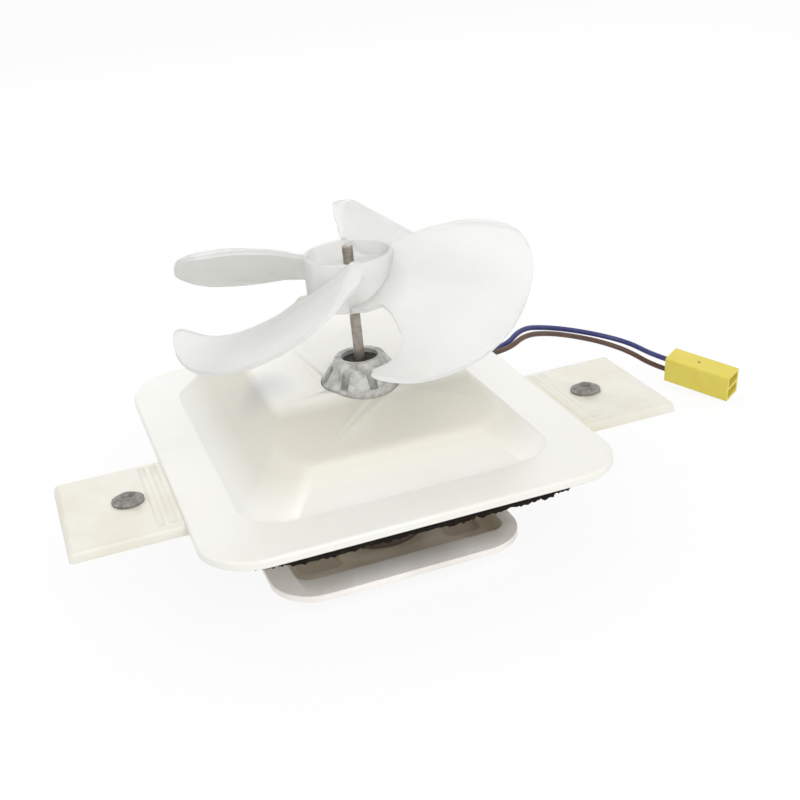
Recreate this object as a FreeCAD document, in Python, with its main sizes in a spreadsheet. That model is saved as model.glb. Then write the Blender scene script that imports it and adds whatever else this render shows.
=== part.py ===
import FreeCAD, Part
import math
import os
import re

import Sketcher

V = FreeCAD.Vector
doc = FreeCAD.newDocument("FanMotor")

# Driving dimensions, in millimetres and degrees.
# The frame: +Z along the motor shaft towards the fan, the origin on the shaft's axis,
# in the plane that the assembly rests on.
SIZES = {
    # top cover, a formed sheet: a flange with a hump over the motor
    "flange_top": 34.5,
    "shell_wall": 1.2,
    "flange_side": 62.5,
    "flange_front": 54.3,
    "flange_back": 93.5,
    "flange_front_corner": 17,
    "flange_back_corner": 22,
    "flange_lip": 1.4,
    "hump_side": 48,
    "hump_front": 38.2,
    "hump_back": 79,
    "hump_corner": 15,
    "hump_height": 21,
    "roof_side": 29,
    "roof_front": 27,
    "roof_back": 62,
    "roof_corner": 12,
    "roof_slope_drop": 8,
    "roof_slope_run": 23.2,
    "roof_level_from": 7,
    "roof_fillet": 5,
    "roof_hole": 12.6,
    # foam strip stuck under the flange's border
    "foam_thickness": 3,
    "foam_width": 9,
    "foam_inset": 2.2,
    "foam_gap": 1,
    # strap: two ears and the frame between them, one moulding
    "strap_reach": 95,
    "strap_half_width": 22.5,
    "strap_depth": 3.2,
    "strap_wall": 1.6,
    "strap_flare": 10,
    "strap_corner": 1.5,
    "frame_front": 35,
    "frame_back": 72,
    "frame_clearance": 0.3,
    "opening_corner": 3,
    "rib_first": 2.7,
    "rib_second": 6.3,
    "rib_radius": 1.2,
    "rib_half_length": 19.5,
    "screw_inset": 19.55,
    "strap_shank": 1.6,
    "thread_gap": 0.6,
    "strap_hole": 1.95,
    "strap_boss": 4.2,
    "strap_boss_depth": 5,
    "strap_stud": 1.9,
    "strap_stud_length": 12,
    "strap_head": 4.85,
    "strap_head_height": 1.9,
    # lower tray, a formed sheet that the assembly stands on
    "tray_rim_top": 9.5,
    "tray_wall": 1.2,
    "tray_side": 42,
    "tray_front": 40.4,
    "tray_back": 67,
    "tray_corner": 15,
    "tray_rim": 9,
    "tray_floor": 3.5,
    "tray_draft": 2,
    "tray_pocket_corner": 6,
    "tray_lip": 0.8,
    "well_inner": 15.5,
    "well_outer": 30,
    "well_front": 19,
    "well_back": 47,
    "well_corner": 4,
    "seat_radius": 14.2,
    "seat_depth": 0.4,
    # motor, set on the middle plane of its iron
    "stack_centre": 33.5,
    "stack_half": 10,
    "stack_side": 32,
    "stack_front": 24,
    "stack_back": 52,
    "stack_chamfer": 3,
    "stator_bore": 13.05,
    "window_side": 20,
    "window_front": 20,
    "core_front": 36,
    "rivet_radius": 1.5,
    "rivet_head": 2.5,
    "rivet_head_height": 0.7,
    "screw_x": 25.5,
    "screw_y": 8,
    "screw_radius": 1.5,
    "screw_hole": 1.6,
    "screw_head": 2.8,
    "screw_head_height": 2,
    "nut_radius": 3.1,
    "nut_height": 2.4,
    "ring_wire": 0.9,
    "ring_inner_x": 9,
    "ring_inner_y": 11.5,
    "ring_outer_x": 17.4,
    "ring_outer_y": 7.7,
    # bobbin and winding round the core at the back
    "bobbin_half": 16.5,
    "bobbin_wall": 1.1,
    "bobbin_clearance": 0.2,
    "bobbin_front": 26,
    "bobbin_back": 62,
    "bobbin_half_height": 16.5,
    "bobbin_corner": 4,
    "winding_front": 27.6,
    "winding_back": 60.4,
    "winding_half_height": 15,
    "winding_corner": 6,
    "tape_thickness": 0.5,
    "tape_half": 13.5,
    # rotor
    "shaft_radius": 1.585,
    "shaft_bottom": 6.2,
    "shaft_top": 97.5,
    "shaft_chamfer": 0.4,
    "rotor_radius": 12.7,
    "bar_radius": 0.9,
    "bar_circle": 11.2,
    "bar_count": 12,
    "end_ring_inner": 7.8,
    "end_ring_outer": 12.2,
    "end_ring_height": 2.4,
    "collar_radius": 2.8,
    "slinger_radius": 4.4,
    "slinger_gap": 0.8,
    "slinger_thickness": 1,
    "washer_radius": 3,
    "washer_thickness": 0.5,
    # bearings and the cast brackets that hold them, both measured from the middle plane
    "bearing_reach": 24.5,
    "bearing_ball": 4.5,
    "bearing_half": 3.25,
    "running_clearance": 0.03,
    "end_play": 0.15,
    "cup_radius": 5.6,
    "cup_lip": 3.6,
    "cup_lip_reach": 21.8,
    "cup_floor_reach": 20.1,
    "felt_gap": 0.12,
    "felt_half": 2.4,
    "retainer_thickness": 0.4,
    "retainer_hole": 2.3,
    "arm_reach": 13.6,
    "arm_thickness": 3.2,
    "arm_half_width": 10.5,
    "boss_radius": 4.6,
    "dome_radius": 12.2,
    "dome_shoulder_reach": 22.6,
    "dome_middle_radius": 10.4,
    "dome_middle_reach": 25.2,
    "dome_top_radius": 7.4,
    "dome_top_reach": 29.5,
    "dome_cavity": 9,
    "dome_windows": 8,
    "dome_window_width": 2.6,
    "dome_window_inner": 8.6,
    "rear_boss_radius": 9.5,
    "rear_boss_reach": 29.6,
    # rubber cup between the rear boss and the tray
    "damper_radius": 14,
    "damper_web": 0.8,
    "damper_height": 6,
    "damper_clearance": 0.1,
    "damper_groove": 0.9,
    # screws through the tray into the rear boss
    "tray_screw_offset": 7.5,
    "tray_screw_radius": 1.2,
    "tray_screw_hole": 1.25,
    "tray_screw_head": 2.3,
    "tray_screw_head_height": 1.6,
    "tray_screw_length": 8,
    # fan: hub, then one blade's heights above the frame's plane and its angles seen from above
    "blade_count": 4,
    "blade_rings": 8,
    "blade_steps": 15,
    "blade_spare_angle": 12,
    "fan_radius": 54.3,
    "fan_hub": 13.8,
    "fan_hub_bottom": 80.9,
    "fan_hub_top": 93.4,
    "fan_hub_wall": 1.4,
    "fan_hub_boss": 4,
    "fan_collar": 3.1,
    "fan_collar_height": 1.4,
    "fan_wall": 1.3,
    "high_edge_angle": -12.5,
    "low_edge_angle": -100,
    "high_root": 95.6,
    "high_middle": 100.9,
    "high_tip": 98.3,
    "low_root": 83.6,
    "low_middle": 78.4,
    "low_tip": 75.8,
    "chord_power_root": 1.5,
    "chord_power_tip": 2.2,
    "high_corner": 11,
    "tip_corner": 4,
    # lead: two wires and their connector on the floor
    "wire_radius": 1.0,
    "exit_height": 29.2,
    "wire_first_run": 10,
    "exit_blue_y": 57.8,
    "exit_brown_y": 55,
    "grommet_half": 4.6,
    "grommet_inner": 53.5,
    "grommet_outer": 62.3,
    "grommet_bottom": 26.6,
    "connector_length": 26,
    "connector_width": 9,
    "connector_height": 10.6,
    "connector_wall": 1.1,
    "connector_web": 0.6,
    "connector_cavity_depth": 11,
    "connector_x": 139.1,
    "connector_y": 51.7,
    "connector_z": 9.4,
    "connector_yaw": -58.4,
    "connector_pitch": 8.1,
    "connector_roll": 8.1,
    "terminal_length": 7,
    "terminal_gap": 0.25,
    "terminal_wall": 0.4,
    "connector_blue_offset": 1.8,
    "connector_brown_offset": -2.9,
    "wire_last_run": 8,
}

sheet = doc.addObject("Spreadsheet::Sheet", "Sizes")
for row, (alias, value) in enumerate(SIZES.items(), start=1):
    sheet.set("A%d" % row, alias)
    sheet.set("B%d" % row, str(value))
    sheet.setAlias("B%d" % row, alias)
doc.recompute()


def replace_names(text, form):
    """The text with each size's name replaced by what form makes of it."""
    return re.sub(r"[a-z_]\w*", lambda m: form(m.group()) if m.group() in SIZES else m.group(), text)


def expression(text):
    return replace_names(text, lambda name: "Sizes." + name)


def number(text):
    """The value of a sum or product of sizes, such as 'flange_top - shell_wall'."""
    return FreeCAD.Units.Quantity(replace_names(text, lambda name: "%.6f" % sheet.get(name))).Value


def bind(thing, **properties):
    for name, text in properties.items():
        thing.setExpression(name, expression(text))


def new_body(name):
    body = doc.addObject("PartDesign::Body", name)
    body.Label = name
    return body


def new_sketch(body, role="XY_Plane", offset="0"):
    sketch = body.newObject("Sketcher::SketchObject", body.Name + "_sketch")
    plane = [feature for feature in body.Origin.OriginFeatures if feature.Role == role][0]
    sketch.AttachmentSupport = [(plane, "")]
    sketch.MapMode = "FlatFace"
    sketch.setExpression("AttachmentOffset.Base.z", expression(offset))
    sketch.AttachmentOffset = FreeCAD.Placement(V(0, 0, number(offset)), FreeCAD.Rotation())
    return sketch


def constrain(sketch, text, kind, *where):
    """A driving size on the sketch, bound to the sheet."""
    index = sketch.addConstraint(Sketcher.Constraint(kind, *where, number(text)))
    sketch.setExpression("Constraints[%d]" % index, expression(text))


def fix_point(sketch, item, end, x=None, y=None):
    for kind, text in (("DistanceX", x), ("DistanceY", y)):
        if text is None:
            continue
        if abs(number(text)) < 1e-9:
            axis = -2 if kind == "DistanceX" else -1
            sketch.addConstraint(Sketcher.Constraint("PointOnObject", item, end, axis))
        elif number(text) > 0:
            constrain(sketch, text, kind, -1, 1, item, end)
        else:
            constrain(sketch, "-(" + text + ")", kind, item, end, -1, 1)


def draw_circle(sketch, x, y, radius):
    circle = Part.Circle(V(number(x), number(y), 0), V(0, 0, 1), number(radius))
    item = sketch.addGeometry(circle, False)
    constrain(sketch, radius, "Radius", item)
    fix_point(sketch, item, 3, x, y)
    return item


def draw_polygon(sketch, points):
    """Straight edges through points given as (x text, y text)."""
    places = [V(number(x), number(y), 0) for x, y in points]
    first = sketch.GeometryCount
    count = len(places)
    for i in range(count):
        sketch.addGeometry(Part.LineSegment(places[i], places[(i + 1) % count]), False)
    for i in range(count):
        sketch.addConstraint(Sketcher.Constraint("Coincident", first + i, 2, first + (i + 1) % count, 1))
        fix_point(sketch, first + i, 1, *points[i])
    return first


def draw_rounded_rectangle(sketch, left, right, front, back, front_corner, back_corner=None):
    """Sides at x = left and right, y = front and back, with the corners' radii."""
    back_corner = back_corner or front_corner
    x0, x1, y0, y1 = number(left), number(right), number(front), number(back)
    r, q = number(front_corner), number(back_corner)
    first = sketch.GeometryCount
    lines = ((V(x0 + r, y0), V(x1 - r, y0)), (V(x1, y0 + r), V(x1, y1 - q)),
             (V(x1 - q, y1), V(x0 + q, y1)), (V(x0, y1 - q), V(x0, y0 + r)))
    for start, end in lines:
        sketch.addGeometry(Part.LineSegment(start, end), False)
    centres = ((x1 - r, y0 + r, r, 270), (x1 - q, y1 - q, q, 0),
               (x0 + q, y1 - q, q, 90), (x0 + r, y0 + r, r, 180))
    for x, y, radius, start in centres:
        circle = Part.Circle(V(x, y, 0), V(0, 0, 1), radius)
        arc = Part.ArcOfCircle(circle, math.radians(start), math.radians(start + 90))
        sketch.addGeometry(arc, False)
    for i in range(4):
        sketch.addConstraint(Sketcher.Constraint("Tangent", first + i, 2, first + 4 + i, 1))
        sketch.addConstraint(Sketcher.Constraint("Tangent", first + 4 + i, 2, first + (i + 1) % 4, 1))
    for i, kind in enumerate(("Horizontal", "Vertical", "Horizontal", "Vertical")):
        sketch.addConstraint(Sketcher.Constraint(kind, first + i))
    sketch.addConstraint(Sketcher.Constraint("Equal", first + 4, first + 7))
    sketch.addConstraint(Sketcher.Constraint("Equal", first + 5, first + 6))
    constrain(sketch, front_corner, "Radius", first + 4)
    constrain(sketch, back_corner, "Radius", first + 5)
    fix_point(sketch, first + 3, 1, x=left)
    fix_point(sketch, first + 1, 1, x=right)
    fix_point(sketch, first, 1, y=front)
    fix_point(sketch, first + 2, 1, y=back)
    return first


def add_feature(body, kind, profile, **settings):
    feature = body.newObject("PartDesign::" + kind, body.Name + "_" + kind.lower())
    feature.Profile = profile
    profile.Visibility = False
    for name, value in settings.items():
        if isinstance(value, str) and name in ("Length", "Angle", "TaperAngle"):
            feature.setExpression(name, expression(value))
        else:
            setattr(feature, name, value)
    doc.recompute()
    return feature


def faces_where(feature, test):
    faces = feature.Shape.Faces
    return ["Face%d" % (i + 1) for i, face in enumerate(faces) if test(face)]


def edges_where(feature, test):
    edges = feature.Shape.Edges
    return ["Edge%d" % (i + 1) for i, edge in enumerate(edges) if test(edge)]


def add_dressing(body, kind, base, items, **settings):
    """A fillet, chamfer or thickness on some edges or faces of an earlier feature."""
    feature = body.newObject("PartDesign::" + kind, body.Name + "_" + kind.lower())
    feature.Base = (base, items)
    for name, value in settings.items():
        if isinstance(value, str):
            feature.setExpression(name, expression(value))
        else:
            setattr(feature, name, value)
    doc.recompute()
    return feature


def pad(body, bottom, height, draw, role="XY_Plane", **settings):
    """A prism from a plane parallel to one of the body's own, along its normal."""
    sketch = new_sketch(body, role, bottom)
    draw(sketch)
    return add_feature(body, "Pad", sketch, Length=height, **settings)


def pocket(body, bottom, height, draw, role="XY_Plane", **settings):
    """The same prism, cut away."""
    sketch = new_sketch(body, role, bottom)
    draw(sketch)
    return add_feature(body, "Pocket", sketch, Length=height, Reversed=True, **settings)


def turn(body, points, kind="Revolution"):
    """A full turn about the body's own axis of an outline given as (radius, height) texts."""
    sketch = new_sketch(body, "XZ_Plane")
    draw_polygon(sketch, points)
    return add_feature(body, kind, sketch, ReferenceAxis=(sketch, ["V_Axis"]))


def repeat_round(body, feature, count):
    pattern = body.newObject("PartDesign::PolarPattern", body.Name + "_pattern")
    pattern.Originals = [feature]
    pattern.Axis = (feature.Profile[0], ["N_Axis"])
    pattern.Angle = 360
    bind(pattern, Occurrences=count)
    body.Tip = pattern
    doc.recompute()
    return pattern


def level(side, reach):
    """The height of a plane this far above ("+") or below ("-") the iron's middle plane."""
    return "stack_centre %s (%s)" % (side, reach)


def between(side, near, far):
    """Bottom and height of a slab whose faces lie this far from the iron's middle plane."""
    return level(side, near if side == "+" else far), "(%s) - (%s)" % (far, near)


def same_height(edge, height):
    return abs(edge.BoundBox.ZMin - height) < 0.01 and abs(edge.BoundBox.ZMax - height) < 0.01


def is_outside(edge, side, front, back):
    """Whether the middle of an edge lies outside the rectangle x = -side to side, y = -front to back."""
    middle = edge.CenterOfMass
    return abs(middle.x) > number(side) or middle.y < -number(front) or middle.y > number(back)


def draw_border(sketch, inset):
    """The top cover's outline, moved inwards."""
    draw_rounded_rectangle(sketch, "%s - flange_side" % inset, "flange_side - (%s)" % inset,
                           "%s - flange_front" % inset, "flange_back - (%s)" % inset,
                           "flange_front_corner - (%s)" % inset, "flange_back_corner - (%s)" % inset)


def make_top_shell():
    body = new_body("top_shell")
    base = new_sketch(body, offset="flange_top")
    draw_rounded_rectangle(base, "-hump_side", "hump_side", "-hump_front", "hump_back", "hump_corner")
    roof = new_sketch(body, offset="flange_top + hump_height")
    draw_rounded_rectangle(roof, "-roof_side", "roof_side", "-roof_front", "roof_back", "roof_corner")
    add_feature(body, "AdditiveLoft", base, Sections=[roof], Ruled=True)
    roof.Visibility = False

    top = "flange_top + hump_height"
    slope_foot = ("-roof_level_from - 2 * roof_slope_run", top + " - 2 * roof_slope_drop")
    slope_back = ("-roof_level_from - 2 * roof_slope_run", top + " + roof_slope_drop")

    def draw_wedge(sketch):
        draw_polygon(sketch, [("-roof_level_from", top), slope_foot, slope_back])

    hump = pocket(body, "0", "4 * hump_side", draw_wedge, role="YZ_Plane", Midplane=True)
    foot = number("flange_top")
    upper_edges = edges_where(hump, lambda edge: edge.BoundBox.ZMin > foot + number("shell_wall"))
    hump = add_dressing(body, "Fillet", hump, upper_edges, Radius="roof_fillet")
    underside = faces_where(hump, lambda face: face.BoundBox.ZMax < foot + 0.01)
    add_dressing(body, "Thickness", hump, underside, Value="shell_wall", Reversed=True, Join=0)

    def draw_flange(sketch):
        draw_border(sketch, "0")
        draw_rounded_rectangle(sketch, "shell_wall - hump_side", "hump_side - shell_wall",
                               "shell_wall - hump_front", "hump_back - shell_wall",
                               "hump_corner - shell_wall")

    def draw_lip(sketch):
        draw_border(sketch, "0")
        draw_border(sketch, "shell_wall")

    pad(body, "flange_top - shell_wall", "shell_wall", draw_flange)
    flange = pad(body, "flange_top - shell_wall - flange_lip", "flange_lip", draw_lip)
    hump_base = ("hump_side + shell_wall", "hump_front + shell_wall", "hump_back + shell_wall")
    rim = edges_where(flange, lambda edge: same_height(edge, foot) and edge.BoundBox.DiagonalLength > 0
                      and is_outside(edge, *hump_base))
    add_dressing(body, "Fillet", flange, rim, Radius="0.8 * shell_wall")
    pocket(body, "flange_top", "2 * hump_height", lambda sketch: draw_circle(sketch, "0", "0", "roof_hole"))

    def draw_passage(sketch):
        side = "2 * flange_side"
        back = "strap_half_width + foam_gap"
        front = "-(%s)" % back
        draw_polygon(sketch, [("-" + side, front), (side, front), (side, back), ("-" + side, back)])

    pocket(body, "flange_top - shell_wall - flange_lip", "flange_lip", draw_passage)
    return body



def make_foam(name, front):
    """Half of the strip under the flange's border, which the strap's ears pass between."""
    body = new_body(name)

    def draw_strip(sketch):
        draw_border(sketch, "foam_inset")
        draw_border(sketch, "(foam_inset + foam_width)")

    def draw_passage(sketch):
        limit = "strap_half_width + foam_gap"
        near, far = ("-(%s)" % limit, "2 * flange_back") if front else ("-2 * flange_back", limit)
        points = [("-2 * flange_side", near), ("2 * flange_side", near), ("2 * flange_side", far)]
        draw_polygon(sketch, points + [("-2 * flange_side", far)])

    bottom = "flange_top - shell_wall - foam_thickness"
    pad(body, bottom, "foam_thickness", draw_strip)
    pocket(body, bottom, "foam_thickness", draw_passage)
    return body


def make_cross_strap():
    body = new_body("cross_strap")
    top = "flange_top - shell_wall"

    def draw_ears(sketch, inset="0"):
        side, back = "strap_reach - " + inset, "strap_half_width - " + inset
        draw_polygon(sketch, [("-(%s)" % side, "-(%s)" % back), (side, "-(%s)" % back), (side, back),
                              ("-(%s)" % side, back)])

    def draw_frame(sketch):
        draw_rounded_rectangle(sketch, "foam_inset + foam_width + foam_gap - flange_side",
                               "flange_side - (foam_inset + foam_width + foam_gap)",
                               "-frame_front", "frame_back", "opening_corner")

    def draw_opening(sketch):
        draw_rounded_rectangle(sketch, "-stack_side - frame_clearance", "stack_side + frame_clearance",
                               "-stack_front - frame_clearance", "bobbin_back + frame_clearance",
                               "opening_corner")

    plate = pad(body, top, "strap_depth", draw_ears, Reversed=True, TaperAngle="strap_flare")
    outer = edges_where(plate, lambda edge: not same_height(edge, number(top) - number("strap_depth")))
    add_dressing(body, "Fillet", plate, outer, Radius="strap_corner")
    hollow = new_sketch(body, offset=top + " - strap_wall")
    draw_ears(hollow, "strap_wall")
    add_feature(body, "Pocket", hollow, Length="strap_depth", TaperAngle="strap_flare")
    pad(body, top + " - strap_wall", "strap_wall", draw_frame)
    for side in ("-", ""):
        x = side + "(strap_reach - screw_inset)"
        pad(body, top + " - strap_boss_depth", "strap_boss_depth",
            lambda sketch: draw_circle(sketch, x, "0", "strap_boss"))
        pocket(body, top + " - strap_boss_depth", "2 * strap_boss_depth",
               lambda sketch: draw_circle(sketch, x, "0", "strap_hole"))
        for place in ("rib_first", "rib_second"):
            pad(body, "0", "2 * rib_half_length",
                lambda sketch: draw_circle(sketch, side + "(flange_side + %s)" % place,
                                           top + " - 0.4 * rib_radius", "rib_radius"),
                role="XZ_Plane", Midplane=True)
    pocket(body, top + " - 2 * strap_depth", "3 * strap_depth", draw_opening)
    return body


def make_strap_screw(name, side):
    body = new_body(name)
    base = "flange_top - shell_wall"
    tip = base + " - strap_stud_length"
    thread_top = base + " - strap_boss_depth - thread_gap"
    turn(body, [("0", tip), ("0.8 * strap_stud", tip), ("strap_stud", tip + " + 0.4 * strap_stud"),
                ("strap_stud", thread_top), ("strap_shank", thread_top), ("strap_shank", base),
                ("strap_head", base), ("strap_head", base + " + 0.35 * strap_head_height"),
                ("0.55 * strap_head", base + " + strap_head_height"), ("0", base + " + strap_head_height")])
    bind(body, **{"Placement.Base.x": side + "(strap_reach - screw_inset)"})
    return body


def make_lower_tray():
    body = new_body("lower_tray")

    def draw_outline(sketch, inset):
        draw_rounded_rectangle(sketch, "%s - tray_side" % inset, "tray_side - (%s)" % inset,
                               "%s - tray_front" % inset, "tray_back - (%s)" % inset,
                               "tray_corner - (%s)" % inset)

    def draw_pocket(sketch, inset):
        draw_rounded_rectangle(sketch, "tray_rim + %s - tray_side" % inset,
                               "tray_side - tray_rim - (%s)" % inset,
                               "tray_rim + %s - tray_front" % inset, "tray_back - tray_rim - (%s)" % inset,
                               "tray_pocket_corner - (%s)" % inset)

    def draw_well(sketch, side, inset):
        near, far = "well_inner + %s" % inset, "well_outer - (%s)" % inset
        left, right = (near, far) if side == "+" else ("-(%s)" % far, "-(%s)" % near)
        draw_rounded_rectangle(sketch, left, right, "%s - well_front" % inset, "well_back - (%s)" % inset,
                               "well_corner - (%s)" % inset)

    def draw_lip(sketch):
        draw_outline(sketch, "0")
        draw_outline(sketch, "tray_wall")

    under = "tray_floor - tray_wall"
    pad(body, "tray_rim_top - tray_wall", "tray_wall", lambda sketch: draw_outline(sketch, "0"))
    pad(body, "tray_rim_top - tray_wall - tray_lip", "tray_lip", draw_lip)
    pad(body, "tray_rim_top", "tray_rim_top - (%s)" % under, lambda sketch: draw_pocket(sketch, "0"),
        Reversed=True, TaperAngle="-tray_draft")
    for side in ("+", "-"):
        pad(body, "0", "tray_floor", lambda sketch: draw_well(sketch, side, "0"))
    cavity = new_sketch(body, offset="tray_rim_top")
    draw_pocket(cavity, "tray_wall")
    add_feature(body, "Pocket", cavity, Length="tray_rim_top - tray_floor", TaperAngle="-tray_draft")
    for side in ("+", "-"):
        pocket(body, "tray_wall", "tray_rim_top", lambda sketch: draw_well(sketch, side, "tray_wall"))
    pocket(body, "tray_floor - seat_depth", "tray_rim_top",
           lambda sketch: draw_circle(sketch, "0", "0", "seat_radius"))
    for y in ("-tray_screw_offset", "tray_screw_offset"):
        pocket(body, "0", "tray_rim_top", lambda sketch: draw_circle(sketch, "0", y, "tray_screw_hole"))
    return body


def make_rear_damper():
    body = new_body("rear_damper")
    foot = "tray_floor - seat_depth"
    web = foot + " + damper_web"
    rim = foot + " + damper_height"
    inner = "rear_boss_radius + damper_clearance"
    turn(body, [("0", foot), ("damper_radius", foot), ("damper_radius", rim), (inner, rim), (inner, web),
                ("0", web)])
    for share in ("0.3", "0.7"):
        middle = "%s + %s * (damper_radius - (%s))" % (inner, share, inner)
        turn(body, [(middle + " - 0.5 * damper_groove", rim), (middle + " + 0.5 * damper_groove", rim),
                    (middle, rim + " - damper_groove")], kind="Groove")
    for y in ("-tray_screw_offset", "tray_screw_offset"):
        pocket(body, foot, "damper_height", lambda sketch: draw_circle(sketch, "0", y, "tray_screw_hole"))
    return body


def screw_places():
    """The two places of the long screws, either side of the shaft."""
    return (("-screw_x", "screw_y"), ("screw_x", "-screw_y"))


def rivet_places():
    edge = "2 * rivet_head"
    left, right = "%s - stack_side" % edge, "stack_side - %s" % edge
    front, back = "1.2 * %s - stack_front" % edge, "stack_back - 1.6 * %s" % edge
    return ((left, front), (right, front), (right, back), (left, back))


def ring_places(first):
    """Where a shading ring's two legs pass through the iron; the second ring lies opposite the first."""
    over, back = ("", "-") if first else ("-", "")
    return ((over + "ring_inner_x", back + "ring_inner_y"), (over + "ring_outer_x", back + "ring_outer_y"))


def make_stator_yoke():
    body = new_body("stator_yoke")
    bottom = "stack_centre - stack_half"
    height = "2 * stack_half"

    def draw_window(sketch):
        points = [("-window_side", "window_front"), ("window_side", "window_front")]
        draw_polygon(sketch, points + [("window_side", "2 * stack_back"), ("-window_side", "2 * stack_back")])

    def draw_yoke(sketch):
        side, front, back, cut = "stack_side", "-stack_front", "stack_back", "stack_chamfer"
        draw_polygon(sketch, [("-%s + %s" % (side, cut), front), ("%s - %s" % (side, cut), front),
                              (side, "%s + %s" % (front, cut)), (side, back), ("-%s" % side, back),
                              ("-%s" % side, "%s + %s" % (front, cut))])

    pad(body, bottom, height, draw_yoke)
    pocket(body, bottom, height, draw_window)
    pocket(body, bottom, height, lambda sketch: draw_circle(sketch, "0", "0", "stator_bore"))

    def draw_holes(sketch):
        for x, y in screw_places():
            draw_circle(sketch, x, y, "screw_hole")
        for x, y in rivet_places():
            draw_circle(sketch, x, y, "rivet_radius")

    def draw_ring_holes(sketch):
        for x, y in ring_places(True) + ring_places(False):
            draw_circle(sketch, x, y, "ring_wire")

    pocket(body, bottom, height, draw_holes)
    pocket(body, bottom, height, draw_ring_holes)
    return body


def make_stator_core():
    body = new_body("stator_core")

    def draw_bar(sketch):
        points = [("-window_side", "core_front"), ("window_side", "core_front")]
        draw_polygon(sketch, points + [("window_side", "stack_back"), ("-window_side", "stack_back")])

    pad(body, "stack_centre - stack_half", "2 * stack_half", draw_bar)
    return body


def make_shading_ring(name, first):
    """A closed loop of thick wire through two holes in the iron."""
    radius = number("ring_wire")
    top = number("stack_centre + stack_half + ring_wire")
    bottom = number("stack_centre - stack_half - ring_wire")
    inner, outer = [(number(x), number(y)) for x, y in ring_places(first)]
    loop = [V(*inner, top), V(*outer, top), V(*outer, bottom), V(*inner, bottom)]
    bars = []
    for start, end in zip(loop, loop[1:] + loop[:1]):
        bars.append(Part.makeCylinder(radius, (end - start).Length, start, end - start))
        bars.append(Part.makeSphere(radius, start))
    ring = doc.addObject("Part::Feature", name)
    ring.Shape = bars[0].multiFuse(bars[1:]).removeSplitter()
    return ring


def draw_coil_section(sketch, front, back, half_height, corner):
    draw_rounded_rectangle(sketch, front, back, "stack_centre - (%s)" % half_height,
                           "stack_centre + (%s)" % half_height, corner)


def draw_tube_section(sketch, gap):
    """A rectangle round the core's bar, this far from it, as seen along the bar."""
    front, back = "core_front - (%s)" % gap, "stack_back + %s" % gap
    low, high = level("-", "stack_half + %s" % gap), level("+", "stack_half + %s" % gap)
    draw_polygon(sketch, [(front, low), (back, low), (back, high), (front, high)])


def make_coil_bobbin():
    body = new_body("coil_bobbin")
    pad(body, "0", "2 * bobbin_half", lambda sketch: draw_tube_section(sketch,
                                                                       "bobbin_clearance + bobbin_wall"),
        role="YZ_Plane", Midplane=True)
    for bottom in ("-bobbin_half", "bobbin_half - bobbin_wall"):
        pad(body, bottom, "bobbin_wall", role="YZ_Plane", draw=lambda sketch: draw_coil_section(
            sketch, "bobbin_front", "bobbin_back", "bobbin_half_height", "bobbin_corner"))
    pocket(body, "0", "4 * bobbin_half", lambda sketch: draw_tube_section(sketch, "bobbin_clearance"),
           role="YZ_Plane", Midplane=True)
    return body


def make_coil_winding():
    body = new_body("coil_winding")
    pad(body, "0", "2 * (bobbin_half - bobbin_wall)", role="YZ_Plane", Midplane=True,
        draw=lambda sketch: draw_coil_section(sketch, "winding_front", "winding_back",
                                              "winding_half_height", "winding_corner"))
    pocket(body, "0", "4 * bobbin_half", lambda sketch: draw_tube_section(sketch,
                                                                          "bobbin_clearance + bobbin_wall"),
           role="YZ_Plane", Midplane=True)
    return body


def make_coil_tape():
    body = new_body("coil_tape")
    pad(body, "0", "2 * tape_half", role="YZ_Plane", Midplane=True, draw=lambda sketch: draw_coil_section(
        sketch, "winding_front - tape_thickness", "winding_back + tape_thickness",
        "winding_half_height + tape_thickness", "winding_corner + tape_thickness"))
    pocket(body, "0", "4 * tape_half", role="YZ_Plane", Midplane=True, draw=lambda sketch: draw_coil_section(
        sketch, "winding_front", "winding_back", "winding_half_height", "winding_corner"))
    return body


def add_arms(body, side):
    """The bracket's two arms, which reach down to the iron, with the long screws' holes."""
    def draw_arms(sketch):
        draw_polygon(sketch, [("-screw_x", "screw_y - boss_radius"), ("0", "-arm_half_width"),
                              ("screw_x", "-screw_y - boss_radius"), ("screw_x", "boss_radius - screw_y"),
                              ("0", "arm_half_width"), ("-screw_x", "screw_y + boss_radius")])

    def draw_at_screws(sketch, radius):
        for x, y in screw_places():
            draw_circle(sketch, x, y, radius)

    arm_far = "arm_reach + arm_thickness"
    pad(body, *between(side, "arm_reach", arm_far), draw_arms)
    pad(body, *between(side, "stack_half", arm_far), lambda sketch: draw_at_screws(sketch, "boss_radius"))
    pocket(body, *between(side, "stack_half", arm_far), lambda sketch: draw_at_screws(sketch, "screw_hole"))
    pocket(body, *between(side, "stack_half", arm_far),
           lambda sketch: draw_circle(sketch, "0", "0", "dome_cavity"))


def make_upper_bracket():
    body = new_body("upper_bracket")
    outline = (("dome_cavity", "arm_reach"), ("dome_radius", "arm_reach"), ("dome_radius",
                                                                            "dome_shoulder_reach"),
               ("dome_middle_radius", "dome_middle_reach"), ("dome_top_radius", "dome_top_reach"),
               ("cup_radius", "dome_top_reach"), ("cup_radius", "cup_lip_reach"), ("cup_lip",
                                                                                   "cup_lip_reach"),
               ("cup_lip", "cup_floor_reach"), ("dome_cavity", "cup_floor_reach"))
    turn(body, [(radius, level("+", reach)) for radius, reach in outline])
    add_arms(body, "+")

    def draw_window(sketch):
        near, far, half = "dome_window_inner", "2 * dome_radius", "0.5 * dome_window_width"
        draw_polygon(sketch, [(near, "-%s" % half), (far, "-%s" % half), (far, half), (near, half)])

    window = pocket(body, level("+", "dome_shoulder_reach"), "dome_top_reach", draw_window)
    repeat_round(body, window, "dome_windows")
    return body


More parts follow.
